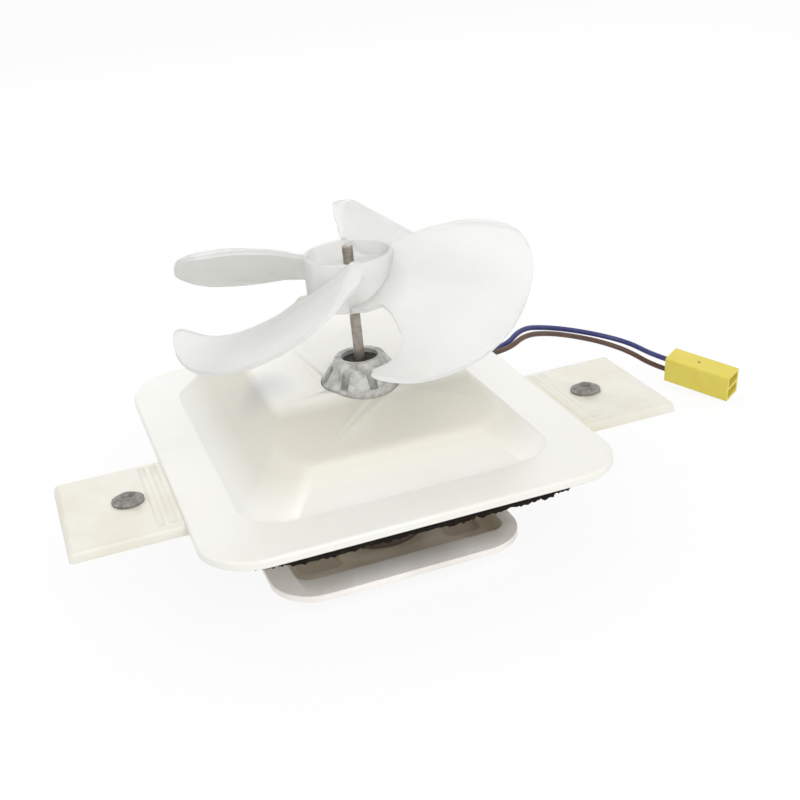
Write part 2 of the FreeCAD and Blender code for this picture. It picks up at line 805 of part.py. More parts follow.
def make_lower_bracket():
    body = new_body("lower_bracket")
    outline = (("dome_cavity", "arm_reach"), ("dome_radius", "arm_reach"), ("dome_radius", "cup_floor_reach"),
               ("rear_boss_radius", "dome_shoulder_reach"), ("rear_boss_radius", "rear_boss_reach"),
               ("cup_radius", "rear_boss_reach"), ("cup_radius", "cup_lip_reach"), ("cup_lip",
                                                                                    "cup_lip_reach"),
               ("cup_lip", "cup_floor_reach"), ("dome_cavity", "cup_floor_reach"))
    turn(body, [(radius, level("-", reach)) for radius, reach in outline])
    add_arms(body, "-")
    for y in ("-tray_screw_offset", "tray_screw_offset"):
        pocket(body, level("-", "rear_boss_reach"), "tray_screw_length",
               lambda sketch: draw_circle(sketch, "0", y, "tray_screw_radius"))
    return body


def make_bearing(name, side):
    """A sintered ball with flat ends and a running bore."""
    ball = doc.addObject("Part::Sphere", name + "_ball")
    bind(ball, Radius="bearing_ball")
    band = doc.addObject("Part::Cylinder", name + "_band")
    bind(band, Radius="bearing_ball", Height="2 * bearing_half", **{"Placement.Base.z": "-bearing_half"})
    zone = doc.addObject("Part::Common", name + "_zone")
    zone.Base = ball
    zone.Tool = band
    bore = doc.addObject("Part::Cylinder", name + "_bore")
    bind(bore, Radius="shaft_radius + running_clearance", Height="2 * bearing_ball",
         **{"Placement.Base.z": "-bearing_ball"})
    bearing = doc.addObject("Part::Cut", name)
    bearing.Base = zone
    bearing.Tool = bore
    bind(bearing, **{"Placement.Base.z": level(side, "bearing_reach")})
    return bearing


def make_retainer(name, side):
    body = new_body(name)
    near = "bearing_reach + bearing_half"
    pad(body, *between(side, near, near + " + retainer_thickness"),
        lambda sketch: draw_ring(sketch, "retainer_hole", "cup_radius"))
    return body


def draw_ring(sketch, inner, outer):
    draw_circle(sketch, "0", "0", inner)
    draw_circle(sketch, "0", "0", outer)


def make_felt(name, side):
    body = new_body(name)
    pad(body, *between(side, "bearing_reach - felt_half", "bearing_reach + felt_half"),
        lambda sketch: draw_ring(sketch, "bearing_ball + felt_gap", "cup_radius"))
    return body


def make_bracket_screw(name, x, y):
    body = new_body(name)
    head = level("+", "arm_reach + arm_thickness")
    end = level("-", "arm_reach + arm_thickness + nut_height")
    turn(body, [("0", end), ("screw_radius", end), ("screw_radius", head), ("screw_head", head),
                ("screw_head", head + " + 0.6 * screw_head_height"),
                ("0.7 * screw_head", head + " + screw_head_height"), ("0", head + " + screw_head_height")])
    bind(body, **{"Placement.Base.x": x, "Placement.Base.y": y})
    return body


def make_bracket_nut(name, x, y):
    body = new_body(name)

    def draw_nut(sketch):
        half, shoulder = "0.5 * nut_radius", "nut_radius * sqrt(3) / 2"
        draw_polygon(sketch, [("nut_radius", "0"), (half, shoulder), ("-" + half, shoulder),
                              ("-nut_radius", "0"), ("-" + half, "-" + shoulder), (half, "-" + shoulder)])
        draw_circle(sketch, "0", "0", "screw_radius")

    far = "arm_reach + arm_thickness + nut_height"
    pad(body, *between("-", "arm_reach + arm_thickness", far), draw_nut)
    bind(body, **{"Placement.Base.x": x, "Placement.Base.y": y})
    return body


def make_stack_rivet(name, x, y):
    body = new_body(name)
    low, high = level("-", "stack_half"), level("+", "stack_half")
    turn(body, [("0", low + " - rivet_head_height"), ("rivet_head", low + " - rivet_head_height"),
                ("rivet_head", low), ("rivet_radius", low), ("rivet_radius", high), ("rivet_head", high),
                ("rivet_head", high + " + rivet_head_height"), ("0", high + " + rivet_head_height")])
    bind(body, **{"Placement.Base.x": x, "Placement.Base.y": y})
    return body


def make_rotor_core():
    body = new_body("rotor_core")
    bottom = level("-", "stack_half")
    pad(body, bottom, "2 * stack_half", lambda sketch: draw_ring(sketch, "shaft_radius", "rotor_radius"))
    hole = pocket(body, bottom, "2 * stack_half",
                  lambda sketch: draw_circle(sketch, "bar_circle", "0", "bar_radius"))
    repeat_round(body, hole, "bar_count")
    return body


def make_rotor_cage():
    body = new_body("rotor_cage")
    pad(body, *between("+", "stack_half", "stack_half + end_ring_height"),
        lambda sketch: draw_ring(sketch, "end_ring_inner", "end_ring_outer"))
    bar = pad(body, level("-", "stack_half"), "2 * stack_half",
              lambda sketch: draw_circle(sketch, "bar_circle", "0", "bar_radius"))
    repeat_round(body, bar, "bar_count")
    pad(body, *between("-", "stack_half", "stack_half + end_ring_height"),
        lambda sketch: draw_ring(sketch, "end_ring_inner", "end_ring_outer"))
    return body


def make_shaft():
    body = new_body("shaft")
    narrow = "shaft_radius - shaft_chamfer"
    turn(body, [("0", "shaft_bottom"), (narrow, "shaft_bottom"), ("shaft_radius",
                                                                  "shaft_bottom + shaft_chamfer"),
                ("shaft_radius", "shaft_top - shaft_chamfer"), (narrow, "shaft_top"), ("0", "shaft_top")])
    return body


def make_collar(name, side):
    """The sleeve between the rotor and the bearing, with a disc that throws oil outwards."""
    body = new_body(name)
    far = "bearing_reach - bearing_half - end_play - washer_thickness"
    disc_far = "cup_floor_reach - slinger_gap"
    disc_near = disc_far + " - slinger_thickness"
    turn(body, [("shaft_radius", level(side, "stack_half")), ("collar_radius", level(side, "stack_half")),
                ("collar_radius", level(side, disc_near)), ("slinger_radius", level(side, disc_near)),
                ("slinger_radius", level(side, disc_far)), ("collar_radius", level(side, disc_far)),
                ("collar_radius", level(side, far)), ("shaft_radius", level(side, far))])
    return body


def make_thrust_washer(name, side):
    body = new_body(name)
    far = "bearing_reach - bearing_half - end_play"
    pad(body, *between(side, far + " - washer_thickness", far),
        lambda sketch: draw_ring(sketch, "shaft_radius", "washer_radius"))
    return body


def bend(first, middle, last, share):
    """A parabola through three values, at shares 0, 1/2 and 1."""
    ends = first * (1 - share) * (1 - 2 * share) + last * share * (2 * share - 1)
    return ends + 4 * middle * share * (1 - share)


def blade_height(radius, angle):
    """Height of a blade's upper face: steep behind the high edge, then level towards the low edge."""
    share = (radius - number("fan_hub")) / number("fan_radius - fan_hub")
    high = bend(number("high_root"), number("high_middle"), number("high_tip"), share)
    low = bend(number("low_root"), number("low_middle"), number("low_tip"), share)
    power = number("chord_power_root") + share * number("chord_power_tip - chord_power_root")
    across = (number("high_edge_angle") - angle) / number("high_edge_angle - low_edge_angle")
    return high + (low - high) * (1 - max(0, 1 - across) ** power)


def polar(radius, angle, height=0):
    turned = math.radians(angle)
    return V(radius * math.cos(turned), radius * math.sin(turned), height)


# The blade's low edge seen from above, from the notch at the hub to the swept tip:
# shares of the way from the hub to the tip, and degrees from the low edge's nominal angle.
LOW_EDGE = ((0.03, -7.8), (0.13, 16), (0.23, 22), (0.35, 18.4),
            (0.52, 13.4), (0.72, 6.9), (0.85, 0.05), (0.94, -2))


def make_blade_outline(root_radius):
    """The blade seen from above, as a closed wire on the base plane."""
    outer = number("fan_radius")
    high = number("high_edge_angle")
    low = number("low_edge_angle")
    corner = number("high_corner")
    corner_centre = polar(outer - corner, high - math.degrees(math.asin(corner / (outer - corner))))
    corner_start = polar(math.sqrt((outer - corner) ** 2 - corner ** 2), high)
    corner_end = corner_centre * (outer / (outer - corner))
    between_ends = (corner_start + corner_end) / 2 - corner_centre
    corner_middle = corner_centre + between_ends.normalize() * corner
    span = outer - number("fan_hub")
    low_points = [polar(number("fan_hub") + share * span, low + turned) for share, turned in LOW_EDGE]
    low_edge = Part.BSplineCurve()
    low_edge.interpolate(low_points)
    tip = low_points[-1]
    tip_end = polar(outer, low + 0.4 * number("tip_corner"))
    tip_middle = polar(outer - 0.12 * number("tip_corner"), low - 0.35 * number("tip_corner"))
    root_low = polar(root_radius, low + LOW_EDGE[0][1] - 2)
    root_high = polar(root_radius, high)
    root_middle = polar(root_radius, (high + low) / 2)
    arc_middle = polar(outer, (high + low) / 2)
    curves = [Part.LineSegment(root_high, corner_start), Part.Arc(corner_start, corner_middle, corner_end),
              Part.Arc(corner_end, arc_middle, tip_end), Part.Arc(tip_end, tip_middle, tip), low_edge,
              Part.LineSegment(low_points[0], root_low), Part.Arc(root_low, root_middle, root_high)]
    return Part.Wire(Part.__sortEdges__([curve.toShape() for curve in curves]))


def make_blade():
    """A twisted sheet with the blade's outline."""
    wall = number("fan_wall")
    hub = number("fan_hub")
    outer = number("fan_radius")
    high = number("high_edge_angle")
    low = number("low_edge_angle")
    rings = int(number("blade_rings"))
    steps = int(number("blade_steps"))
    spare = number("blade_spare_angle")
    grid = []
    for i in range(rings + 1):
        radius = hub - 2 * wall + (outer + 4 * wall - hub) * i / rings
        angles = [high + spare + (low - high - 3 * spare) * j / steps for j in range(steps + 1)]
        grid.append([polar(radius, angle, blade_height(radius, angle)) for angle in angles])
    surface = Part.BSplineSurface()
    surface.interpolate(grid)
    sheet_body = surface.toShape().extrude(V(0, 0, -wall))
    outline = Part.Face(make_blade_outline(hub - 0.5 * number("fan_hub_wall")))
    return sheet_body.common(outline.extrude(V(0, 0, 2 * number("high_middle"))))


def make_fan():
    """Hub and blades, one moulding."""
    radius = number("fan_hub")
    wall = number("fan_hub_wall")
    bottom = number("fan_hub_bottom")
    top = number("fan_hub_top")
    bore = number("shaft_radius")
    boss = number("fan_hub_boss")
    collar = number("fan_collar")
    collar_top = top + number("fan_collar_height")
    outline = [(bore, bottom), (boss, bottom), (boss, top - wall), (radius - wall, top - wall),
               (radius - wall, bottom), (radius, bottom), (radius, top), (collar, top), (collar, collar_top),
               (bore, collar_top)]
    points = [V(x, 0, z) for x, z in outline]
    hub = Part.Face(Part.makePolygon(points + points[:1])).revolve(V(0, 0, 0), V(0, 0, 1), 360)
    rim = [edge for edge in hub.Edges if same_height(edge, top) and edge.BoundBox.XMax > radius - 0.01]
    hub = hub.makeFillet(0.8 * wall, rim)
    count = int(number("blade_count"))
    step = 360 / count
    blade = make_blade()
    pieces = []
    for i in range(count):
        turned = FreeCAD.Placement(V(), FreeCAD.Rotation(V(0, 0, 1), i * step))
        pieces.append(blade.transformed(turned.Matrix))
        rib = Part.makeBox(radius - 1.5 * wall - bore, 0.8 * wall, top - wall - bottom,
                           V(bore + 0.5 * wall, -0.4 * wall, bottom))
        pieces.append(rib.transformed(turned.Matrix))
    fan = doc.addObject("Part::Feature", "fan")
    fan.Shape = hub.multiFuse(pieces).removeSplitter()
    return fan


def make_tray_screw(name, y):
    body = new_body(name)
    seat = "tray_floor - tray_wall"
    end = level("-", "rear_boss_reach") + " + tray_screw_length"
    turn(body, [("0", seat + " - tray_screw_head_height"),
                ("0.7 * tray_screw_head", seat + " - tray_screw_head_height"),
                ("tray_screw_head", seat + " - 0.5 * tray_screw_head_height"), ("tray_screw_head", seat),
                ("tray_screw_radius", seat), ("tray_screw_radius", end), ("0", end)])
    bind(body, **{"Placement.Base.y": y})
    return body


def make_tube(name, points):
    """A wire: straight runs joined by tangent arcs, each as large as its two runs allow."""
    radius = number("wire_radius")
    curves = []
    bends = []
    start = points[0]
    for before, corner, after in zip(points, points[1:], points[2:]):
        arriving = (corner - before).normalize()
        leaving = (after - corner).normalize()
        half_turn = arriving.getAngle(leaving) / 2
        reach = 0.45 * min((corner - before).Length, (after - corner).Length)
        bends.append(reach / math.tan(half_turn))
        inward = (leaving - arriving).normalize()
        middle = corner + inward * bends[-1] * (1 / math.cos(half_turn) - 1)
        curves.append(Part.LineSegment(start, corner - arriving * reach))
        curves.append(Part.Arc(corner - arriving * reach, middle, corner + leaving * reach))
        start = corner + leaving * reach
    curves.append(Part.LineSegment(start, points[-1]))
    path = Part.Wire([curve.toShape() for curve in curves])
    section = Part.Wire(Part.Circle(points[0], points[1] - points[0], radius).toShape())
    wire = doc.addObject("Part::Feature", name)
    wire.Shape = path.makePipeShell([section], True, True)
    expected = math.pi * radius ** 2 * path.Length
    print("%s: length %.1f, volume %.1f of %.1f, smallest bend radius %.1f" % (
        name, path.Length, wire.Shape.Volume, expected, min(bends)))
    return wire


def connector_pose():
    place = V(number("connector_x"), number("connector_y"), number("connector_z"))
    turned = FreeCAD.Rotation(number("connector_yaw"), number("connector_pitch"), number("connector_roll"))
    return FreeCAD.Placement(place, turned)


def wire_points(exit_y, route, offset):
    """The grommet's face, a straight way out of it, the route, and the run into the connector."""
    start = V(number("grommet_outer"), number(exit_y), number("exit_height"))
    pose = connector_pose()
    end = pose.multVec(V(0, 0, number(offset)))
    before = pose.multVec(V(-number("wire_last_run"), 0, number(offset)))
    return [start, start + V(number("wire_first_run"), 0, 0)] + [V(*place) for place in route] + [before, end]


BLUE_ROUTE = ((83, 66, 32), (96, 72, 27.6), (110, 75, 22.3), (123, 74, 17.3), (131.5, 68.5, 14.1))
BROWN_ROUTE = ((83.5, 63.6, 30), (96.5, 69.8, 25.8), (110.3, 73, 20.2), (122, 72.4, 15.2), (129.8, 67, 11.6))


def make_coil_lead(name, exit_y):
    """The straight lead from the bobbin to the grommet, below the strap's frame."""
    lead = doc.addObject("Part::Cylinder", name)
    lead.Placement = FreeCAD.Placement(V(), FreeCAD.Rotation(V(0, 1, 0), 90))
    bind(lead, Radius="wire_radius", Height="grommet_inner - bobbin_half",
         **{"Placement.Base.x": "bobbin_half", "Placement.Base.y": exit_y, "Placement.Base.z": "exit_height"})
    return lead


def make_lead_grommet():
    body = new_body("lead_grommet")
    top = "flange_top - shell_wall - foam_thickness"

    def draw_block(sketch):
        middle = "0.5 * (exit_blue_y + exit_brown_y)"
        draw_rounded_rectangle(sketch, "%s - grommet_half" % middle, "%s + grommet_half" % middle,
                               "grommet_bottom", top, "0.3 * grommet_half")

    pad(body, "grommet_inner", "grommet_outer - grommet_inner", draw_block, role="YZ_Plane")
    return body


def make_connector_housing():
    body = new_body("connector_housing")
    half_width = "0.5 * connector_width"
    half_height = "0.5 * connector_height"

    def draw_block(sketch):
        draw_rounded_rectangle(sketch, "-" + half_width, half_width, "-" + half_height, half_height,
                               "0.7 * connector_wall")

    pad(body, "0", "connector_length", draw_block, role="YZ_Plane")
    for upper in (True, False):
        pocket(body, "connector_length - connector_cavity_depth", "2 * connector_cavity_depth",
               role="YZ_Plane",
               draw=lambda sketch: draw_cavity(sketch, upper, "0"))
    body.Placement = connector_pose()
    return body


def draw_cavity(sketch, upper, inset):
    """One of the connector's two mouths, or what fits in it with some room."""
    half_width = "0.5 * connector_width - connector_wall - (%s)" % inset
    near = "connector_web + %s" % inset
    far = "0.5 * connector_height - connector_wall - (%s)" % inset
    low, high = (near, far) if upper else ("-(%s)" % far, "-(%s)" % near)
    draw_rounded_rectangle(sketch, "-(%s)" % half_width, half_width, low, high, "0.5 * connector_wall")


def make_terminal(name, upper):
    """A sheet socket at the bottom of one of the connector's mouths."""
    body = new_body(name)
    pad(body, "connector_length - connector_cavity_depth", "terminal_length", role="YZ_Plane",
        draw=lambda sketch: draw_cavity(sketch, upper, "terminal_gap"))
    pocket(body, "connector_length - connector_cavity_depth + terminal_wall", "terminal_length",
           role="YZ_Plane",
           draw=lambda sketch: draw_cavity(sketch, upper, "terminal_gap + terminal_wall"))
    body.Placement = connector_pose()
    return body


PARTS = [
    make_top_shell(),
    make_foam("foam_front", True),
    make_foam("foam_back", False),
    make_cross_strap(),
    make_strap_screw("strap_screw_left", "-"),
    make_strap_screw("strap_screw_right", ""),
    make_lower_tray(),
    make_rear_damper(),
    make_tray_screw("tray_screw_front", "-tray_screw_offset"),
    make_tray_screw("tray_screw_back", "tray_screw_offset"),
    make_stator_yoke(),
    make_stator_core(),
    make_shading_ring("shading_ring_front", True),
    make_shading_ring("shading_ring_back", False),
    make_coil_bobbin(),
    make_coil_winding(),
    make_coil_tape(),
    make_upper_bracket(),
    make_lower_bracket(),
    make_rotor_core(),
    make_rotor_cage(),
    make_shaft(),
    make_fan(),
    make_tube("wire_blue", wire_points("exit_blue_y", BLUE_ROUTE, "connector_blue_offset")),
    make_tube("wire_brown", wire_points("exit_brown_y", BROWN_ROUTE, "connector_brown_offset")),
    make_coil_lead("coil_lead_blue", "exit_blue_y"),
    make_coil_lead("coil_lead_brown", "exit_brown_y"),
    make_lead_grommet(),
    make_connector_housing(),
    make_terminal("terminal_blue", True),
    make_terminal("terminal_brown", False),
]
for place, side in (("upper", "+"), ("lower", "-")):
    PARTS.append(make_bearing(place + "_bearing", side))
    PARTS.append(make_retainer(place + "_retainer", side))
    PARTS.append(make_felt(place + "_felt", side))
    PARTS.append(make_collar(place + "_collar", side))
    PARTS.append(make_thrust_washer(place + "_thrust_washer", side))
for index, spot in enumerate(screw_places(), start=1):
    PARTS.append(make_bracket_screw("bracket_screw_%d" % index, *spot))
    PARTS.append(make_bracket_nut("bracket_nut_%d" % index, *spot))
for index, spot in enumerate(rivet_places(), start=1):
    PARTS.append(make_stack_rivet("stack_rivet_%d" % index, *spot))
doc.recompute()

for thing in doc.Objects:
    if "Invalid" in thing.State or "Error" in thing.State:
        raise RuntimeError("%s didn't compute: %s" % (thing.Name, thing.State))
for part in PARTS:
    if part.Shape.isNull() or not part.Shape.isValid() or len(part.Shape.Solids) != 1:
        raise RuntimeError("%s isn't one valid solid" % part.Label)

os.makedirs("parts", exist_ok=True)
for part in PARTS:
    part.Shape.exportStep("parts/%s.step" % part.Label)
print("%d sub-parts" % len(PARTS))
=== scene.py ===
"""A small fan motor, dressed for its picture: covers, fan, motor, strap and lead."""
import math

import bpy
from mathutils import Matrix, Vector, noise


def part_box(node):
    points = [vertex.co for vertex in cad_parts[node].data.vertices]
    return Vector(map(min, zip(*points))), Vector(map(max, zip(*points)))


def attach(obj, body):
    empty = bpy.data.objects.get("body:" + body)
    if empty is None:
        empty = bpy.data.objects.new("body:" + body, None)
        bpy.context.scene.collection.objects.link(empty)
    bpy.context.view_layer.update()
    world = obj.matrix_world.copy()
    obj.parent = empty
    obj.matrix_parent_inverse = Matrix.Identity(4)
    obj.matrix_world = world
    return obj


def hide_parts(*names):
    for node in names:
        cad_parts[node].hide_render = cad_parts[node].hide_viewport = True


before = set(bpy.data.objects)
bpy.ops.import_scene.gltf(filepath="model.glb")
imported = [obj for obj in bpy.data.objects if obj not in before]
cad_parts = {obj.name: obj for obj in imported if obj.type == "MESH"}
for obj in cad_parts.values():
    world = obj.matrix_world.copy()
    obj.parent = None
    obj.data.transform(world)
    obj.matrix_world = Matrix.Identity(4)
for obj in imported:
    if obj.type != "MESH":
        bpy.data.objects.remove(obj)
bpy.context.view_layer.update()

BODY = "motor"
ROTOR = "rotor"

bl_info = {
    "name": "Fan motor dressing",
    "version": (1, 0, 0),
    "blender": (4, 5, 0),
    "location": "View3D > Sidebar > Fan motor",
    "description": "Finishes the covers, fan, motor and lead of a small fan motor",
    "category": "Object",
}

MM = 0.001
WELD = 0.002 * MM

# Surface relief, and how a plastic's specks and roughness follow its stained patches.
BUMP_STRENGTH = 0.6
SPECK_FINENESS = 22.0
SPECK_SHARE = 0.35
PATCH_ROUGHNESS = 0.18
# The same for a metal: how much finer its pits are than its grime, and how rough the grime is.
PIT_FINENESS = 9.0
GRIME_ROUGHNESS = 0.5

# A grey spot of painted shade on the cover, where the first bracket screw shows through the sheet,
# in metres from the head of that screw.
SCREW_SHADE_OFFSET = (-0.0028, 0.0022)
SCREW_SHADE_RADII = (0.010, 0.014, 0.020)
SCREW_SHADE_SOFTNESS = 0.9
SCREW_SHADE_SHARE = 0.65
# Heights in metres over which the hump's walls and its roof begin; the walls are darkened with
# painted shade and the roof is lightened with painted light against the fan's shadow.
WALL_HEIGHTS = (0.0365, 0.044)
ROOF_HEIGHTS = (0.0535, 0.0553)
WALL_SHADE_SHARE = 0.8
WALL_SHADE_ON_ROOF = 0.05
WALL_SHADE_TINT = (0.82, 0.80, 0.72)
ROOF_LIGHT_TINT = (1.13, 1.13, 1.12)

# The small dark dot on the connector's top, in metres.
DARK_DOT = (0.1449, 0.0406, 0.0130)
DARK_DOT_RADII = (0.0008, 0.0008, 0.002)
DARK_DOT_SOFTNESS = 0.5
DARK_DOT_COLOR = (0.20, 0.15, 0.03)

# The rubber cup's moulded rings.
RING_SCALE = 105.0
RING_COLOR = (0.17, 0.14, 0.11)

# The painted shade on the tray's floor under the cover, in metres: how far in from its right and
# front edges it begins and how far below its rim it ends; its noise, and how that thins it; the
# heights over which the wells darken with more painted shade.
SHADE_FROM_SIDE = (0.0098, 0.0088)
SHADE_FROM_FRONT = (0.0095, 0.0101)
SHADE_BELOW_RIM = (0.0022, 0.0004)
SHADE_NOISE_SCALE = 60.0
SHADE_NOISE = (0.25, 0.6)
SHADE_NOISE_SHARE = (0.75, 1.0)
WELL_SHADE_HEIGHTS = (0.0015, 0.0033)
WELL_SHADE_SHARE = 0.6
WELL_SHADE_COLOR = (0.72, 0.60, 0.46)

# The tray's outline in the CAD and what the photograph asks to change of it, in mm.
TRAY_SIDE = 42.0
TRAY_FRONT = -40.4
TRAY_BACK = 67.0
TRAY_CORNER = 15.0
TRAY_LIP = 5.0
TRAY_TRIM_RIGHT = 5.9
TRAY_TRIM_FRONT = 0.8
POCKET_GROWTH = 3.0
POCKET_GROWTH_START = 15.0
POCKET_GROWTH_RUN = 18.0

# The two wires and the connector, in mm and degrees. A wire runs straight from the grommet, then
# through its route's points, and ends beside the connector's middle. Only its length is in metres.
WIRE_START = {"blue": (62.3, 57.8, 29.2), "brown": (62.3, 55, 29.2)}
WIRE_ROUTE = {
    "blue": ((83, 66, 32), (96, 72, 27.6), (110, 75, 22.3), (123, 74, 17.3), (131.5, 68.5, 14.1)),
    "brown": ((83.5, 63.6, 30), (96.5, 69.8, 25.8), (110.3, 73, 20.2), (122, 72.4, 15.2),
              (129.8, 67, 11.6)),
}
WIRE_OFFSET = {"blue": 1.8, "brown": -2.9}
FIRST_RUN = 10.0
LAST_RUN = 8.0
CONNECTOR_PLACE = (139.1, 51.7, 9.4)
CONNECTOR_TURN = (8.1, 8.1, -58.4)

# The blade's laws, each as (distance from the axis in mm, value): heights of the high edge and of
# the trough in mm, and the angles in degrees of the high edge and of the low edge.
HIGH_HEIGHT = ((8, 95.2), (14, 96.7), (24, 99.35), (35, 100.4), (45, 99.3), (54, 96.2))
TROUGH_HEIGHT = ((8, 83.2), (15, 83.2), (25, 80.5), (35, 78.7), (45, 77.0), (54, 75.0))
HIGH_ANGLE = ((8, -9.2), (14, -9.2), (34, -10.6), (54, -13.3), (56, -13.3))
LOW_ANGLE = ((10, -113), (15, -110), (19, -80), (23, -80), (28, -82), (35, -86), (43, -94.4),
             (48, -100.6), (52, -104.5), (56, -106.5))
# What changes evenly from the blade's root to its tip: how steeply it falls, and the degrees
# that it stays level and where its trough lies.
BLADE_ROOT = 14
BLADE_RUN = 40
POWER = (1.32, 2.15)
FLAT_START = (4.3, 8.5)
TROUGH_ANGLE = (-101.7, -85.9)
# Behind the trough the blade rises again: by this many mm in this many degrees, at the tip.
TIP_RISE = 4.5
TIP_ANGLE = 18
BLADE_RADIUS = 53.7
BLADE_SINK = 0.6
BLADE_THICKNESS = 1.3
HIGH_CORNER = 17.3
LOW_CORNER = 5.9
# The hub, in mm: heights along the axis and radii round it.
HUB_RADIUS = 13.3
HUB_RIM = 95.5
HUB_FLOOR = 90.6
HUB_FOOT = 80.9
HUB_WALL = 1.3
HUB_ROUND = 0.4
BOSS_RADIUS = 3.9
BOSS_TOP = 92.2
BORE = 1.6

# The strap: its ribs are worn down by this share of what stands above its top.
STRAP_TOP = 33.35 * MM
RIB_WEAR = 0.6
STRAP_ROUND = 0.3 * MM
# The driver's recess in a strap screw's head, whose top is every level face this near its height.
HEAD_SKIN = 0.05 * MM
RECESS_EDGE = 0.7 * MM
RECESS_SLOPE = 0.35 * MM
RECESS_DEPTH = 1.0 * MM

# The foam's lower side sags along the front between its ends and is pulled up past them.
FOAM_VOXEL = 0.45 * MM
FOAM_SAG = 1.6 * MM
FOAM_TEAR = 0.9 * MM
FOAM_ENDS = (-57 * MM, 55 * MM)
FOAM_FADE = 20 * MM
FOAM_LIFT = 0.6
FOAM_BACK = 0.6
# Waves of the tear, each as (how fine, how strong). Without a seed they follow the clock.
FOAM_NOISE = ((160, 0.5), (520, 0.7), (1300, 0.5))
FOAM_SEED = 1

# The lamps as (name, place and size in metres, power in watts), and where they point.
LAMPS = (("key", (0.05, -1.0, 0.80), 0.8, 6.5), ("fill", (-0.7, 0.2, 0.8), 1.0, 1.2),
         ("back", (0.2, 0.9, 0.6), 0.8, 1.6))
LAMP_TARGET = (0.02, 0.02, 0.03)
# The white surroundings as they light the object and as they are seen.
WORLD_LIGHT = 0.79
WORLD_SEEN = 1.0
FLOOR_PLACE = (0, 0, -0.0002)
FLOOR_GLOW = 0.9

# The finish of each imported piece. The ones that aren't named are steel.
NODE_FINISH = {
    "top_shell": "milky_sheet", "lower_tray": "tray_sheet", "fan": "fan_plastic",
    "cross_strap": "strap_plastic", "foam_front": "foam", "foam_back": "foam",
    "rear_damper": "ringed_rubber", "lead_grommet": "rubber", "coil_bobbin": "bobbin_plastic",
    "coil_tape": "tape", "coil_winding": "winding", "coil_lead_blue": "wire_blue",
    "coil_lead_brown": "wire_brown", "wire_blue": "wire_blue", "wire_brown": "wire_brown",
    "connector_housing": "connector_plastic", "terminal_blue": "copper",
    "terminal_brown": "copper", "upper_bracket": "die_cast", "lower_bracket": "die_cast",
    "stator_yoke": "iron", "stator_core": "iron", "shading_ring_front": "copper",
    "shading_ring_back": "copper", "shaft": "shaft_steel", "rotor_core": "iron",
    # The parts in the dome's opening round the shaft are painted near black as painted shade.
    "rotor_cage": "die_cast", "upper_felt": "hole_shade", "upper_retainer": "hole_shade",
    "upper_collar": "hole_shade", "upper_bearing": "hole_shade", "lower_bearing": "bronze",
    "lower_felt": "felt",
}


class CameraSettings(bpy.types.PropertyGroup):
    place: bpy.props.FloatVectorProperty(
        name="Place", description="Where the camera stands", subtype="TRANSLATION", unit="LENGTH",
        default=(-0.09273, -0.3265, 0.19852))
    azimuth: bpy.props.FloatProperty(
        name="Azimuth", description="How far round the object the camera stands", subtype="ANGLE",
        default=math.radians(-17.68))
    elevation: bpy.props.FloatProperty(
        name="Elevation", description="How far the camera looks down", subtype="ANGLE",
        default=math.radians(24.10))
    roll: bpy.props.FloatProperty(
        name="Roll", description="How far the picture is turned", subtype="ANGLE",
        default=math.radians(-5.78))
    lens: bpy.props.FloatProperty(
        name="Lens", description="Focal length for a 36 mm wide picture", unit="CAMERA",
        default=54.4)


class ShellSettings(bpy.types.PropertyGroup):
    color: bpy.props.FloatVectorProperty(
        name="Cover", description="Milky sheet of the top cover", subtype="COLOR",
        default=(0.79, 0.785, 0.75))
    # Colour of the painted shade where a bracket screw shows through the sheet.
    shadow_color: bpy.props.FloatVectorProperty(
        name="Behind", description="What darkens the sheet from inside", subtype="COLOR",
        default=(0.50, 0.52, 0.57))
    edge_round: bpy.props.FloatProperty(
        name="Edge", description="Rounding of the sheet's edges", unit="LENGTH",
        default=0.35 * MM)


class FanSettings(bpy.types.PropertyGroup):
    color: bpy.props.FloatVectorProperty(
        name="Fan", description="Milky plastic of the fan", subtype="COLOR",
        default=(0.91, 0.91, 0.895))
    edge_round: bpy.props.FloatProperty(
        name="Edge", description="Rounding of the blades' edges", unit="LENGTH",
        default=0.3 * MM)


class StrapSettings(bpy.types.PropertyGroup):
    color: bpy.props.FloatVectorProperty(
        name="Strap", description="Cream plastic of the strap", subtype="COLOR",
        default=(0.72, 0.71, 0.63))
    steel: bpy.props.FloatVectorProperty(
        name="Screws", description="Dull steel of the screws", subtype="COLOR",
        default=(0.30, 0.29, 0.27))


class TraySettings(bpy.types.PropertyGroup):
    rim_color: bpy.props.FloatVectorProperty(
        name="Rim", description="The tray's rim", subtype="COLOR", default=(0.95, 0.91, 0.87))
    # The floor's colour holds painted shade from the cover above it.
    inner_shade_color: bpy.props.FloatVectorProperty(
        name="Inside", description="The tray's stained floor", subtype="COLOR",
        default=(0.90, 0.78, 0.61))
    rubber: bpy.props.FloatVectorProperty(
        name="Rubber", description="The rubber cup", subtype="COLOR",
        default=(0.075, 0.06, 0.047))
    foam: bpy.props.FloatVectorProperty(
        name="Foam", description="The torn foam strip", subtype="COLOR",
        default=(0.014, 0.011, 0.009))


class LeadSettings(bpy.types.PropertyGroup):
    blue: bpy.props.FloatVectorProperty(
        name="Blue wire", description="Insulation of the upper wire", subtype="COLOR",
        default=(0.018, 0.020, 0.13))
    brown: bpy.props.FloatVectorProperty(
        name="Brown wire", description="Insulation of the lower wire", subtype="COLOR",
        default=(0.075, 0.035, 0.022))
    yellow: bpy.props.FloatVectorProperty(
        name="Connector", description="The connector's housing", subtype="COLOR",
        default=(0.70, 0.60, 0.09))
    diameter: bpy.props.FloatProperty(
        name="Diameter", description="Diameter of each wire", unit="LENGTH", default=2.0 * MM)


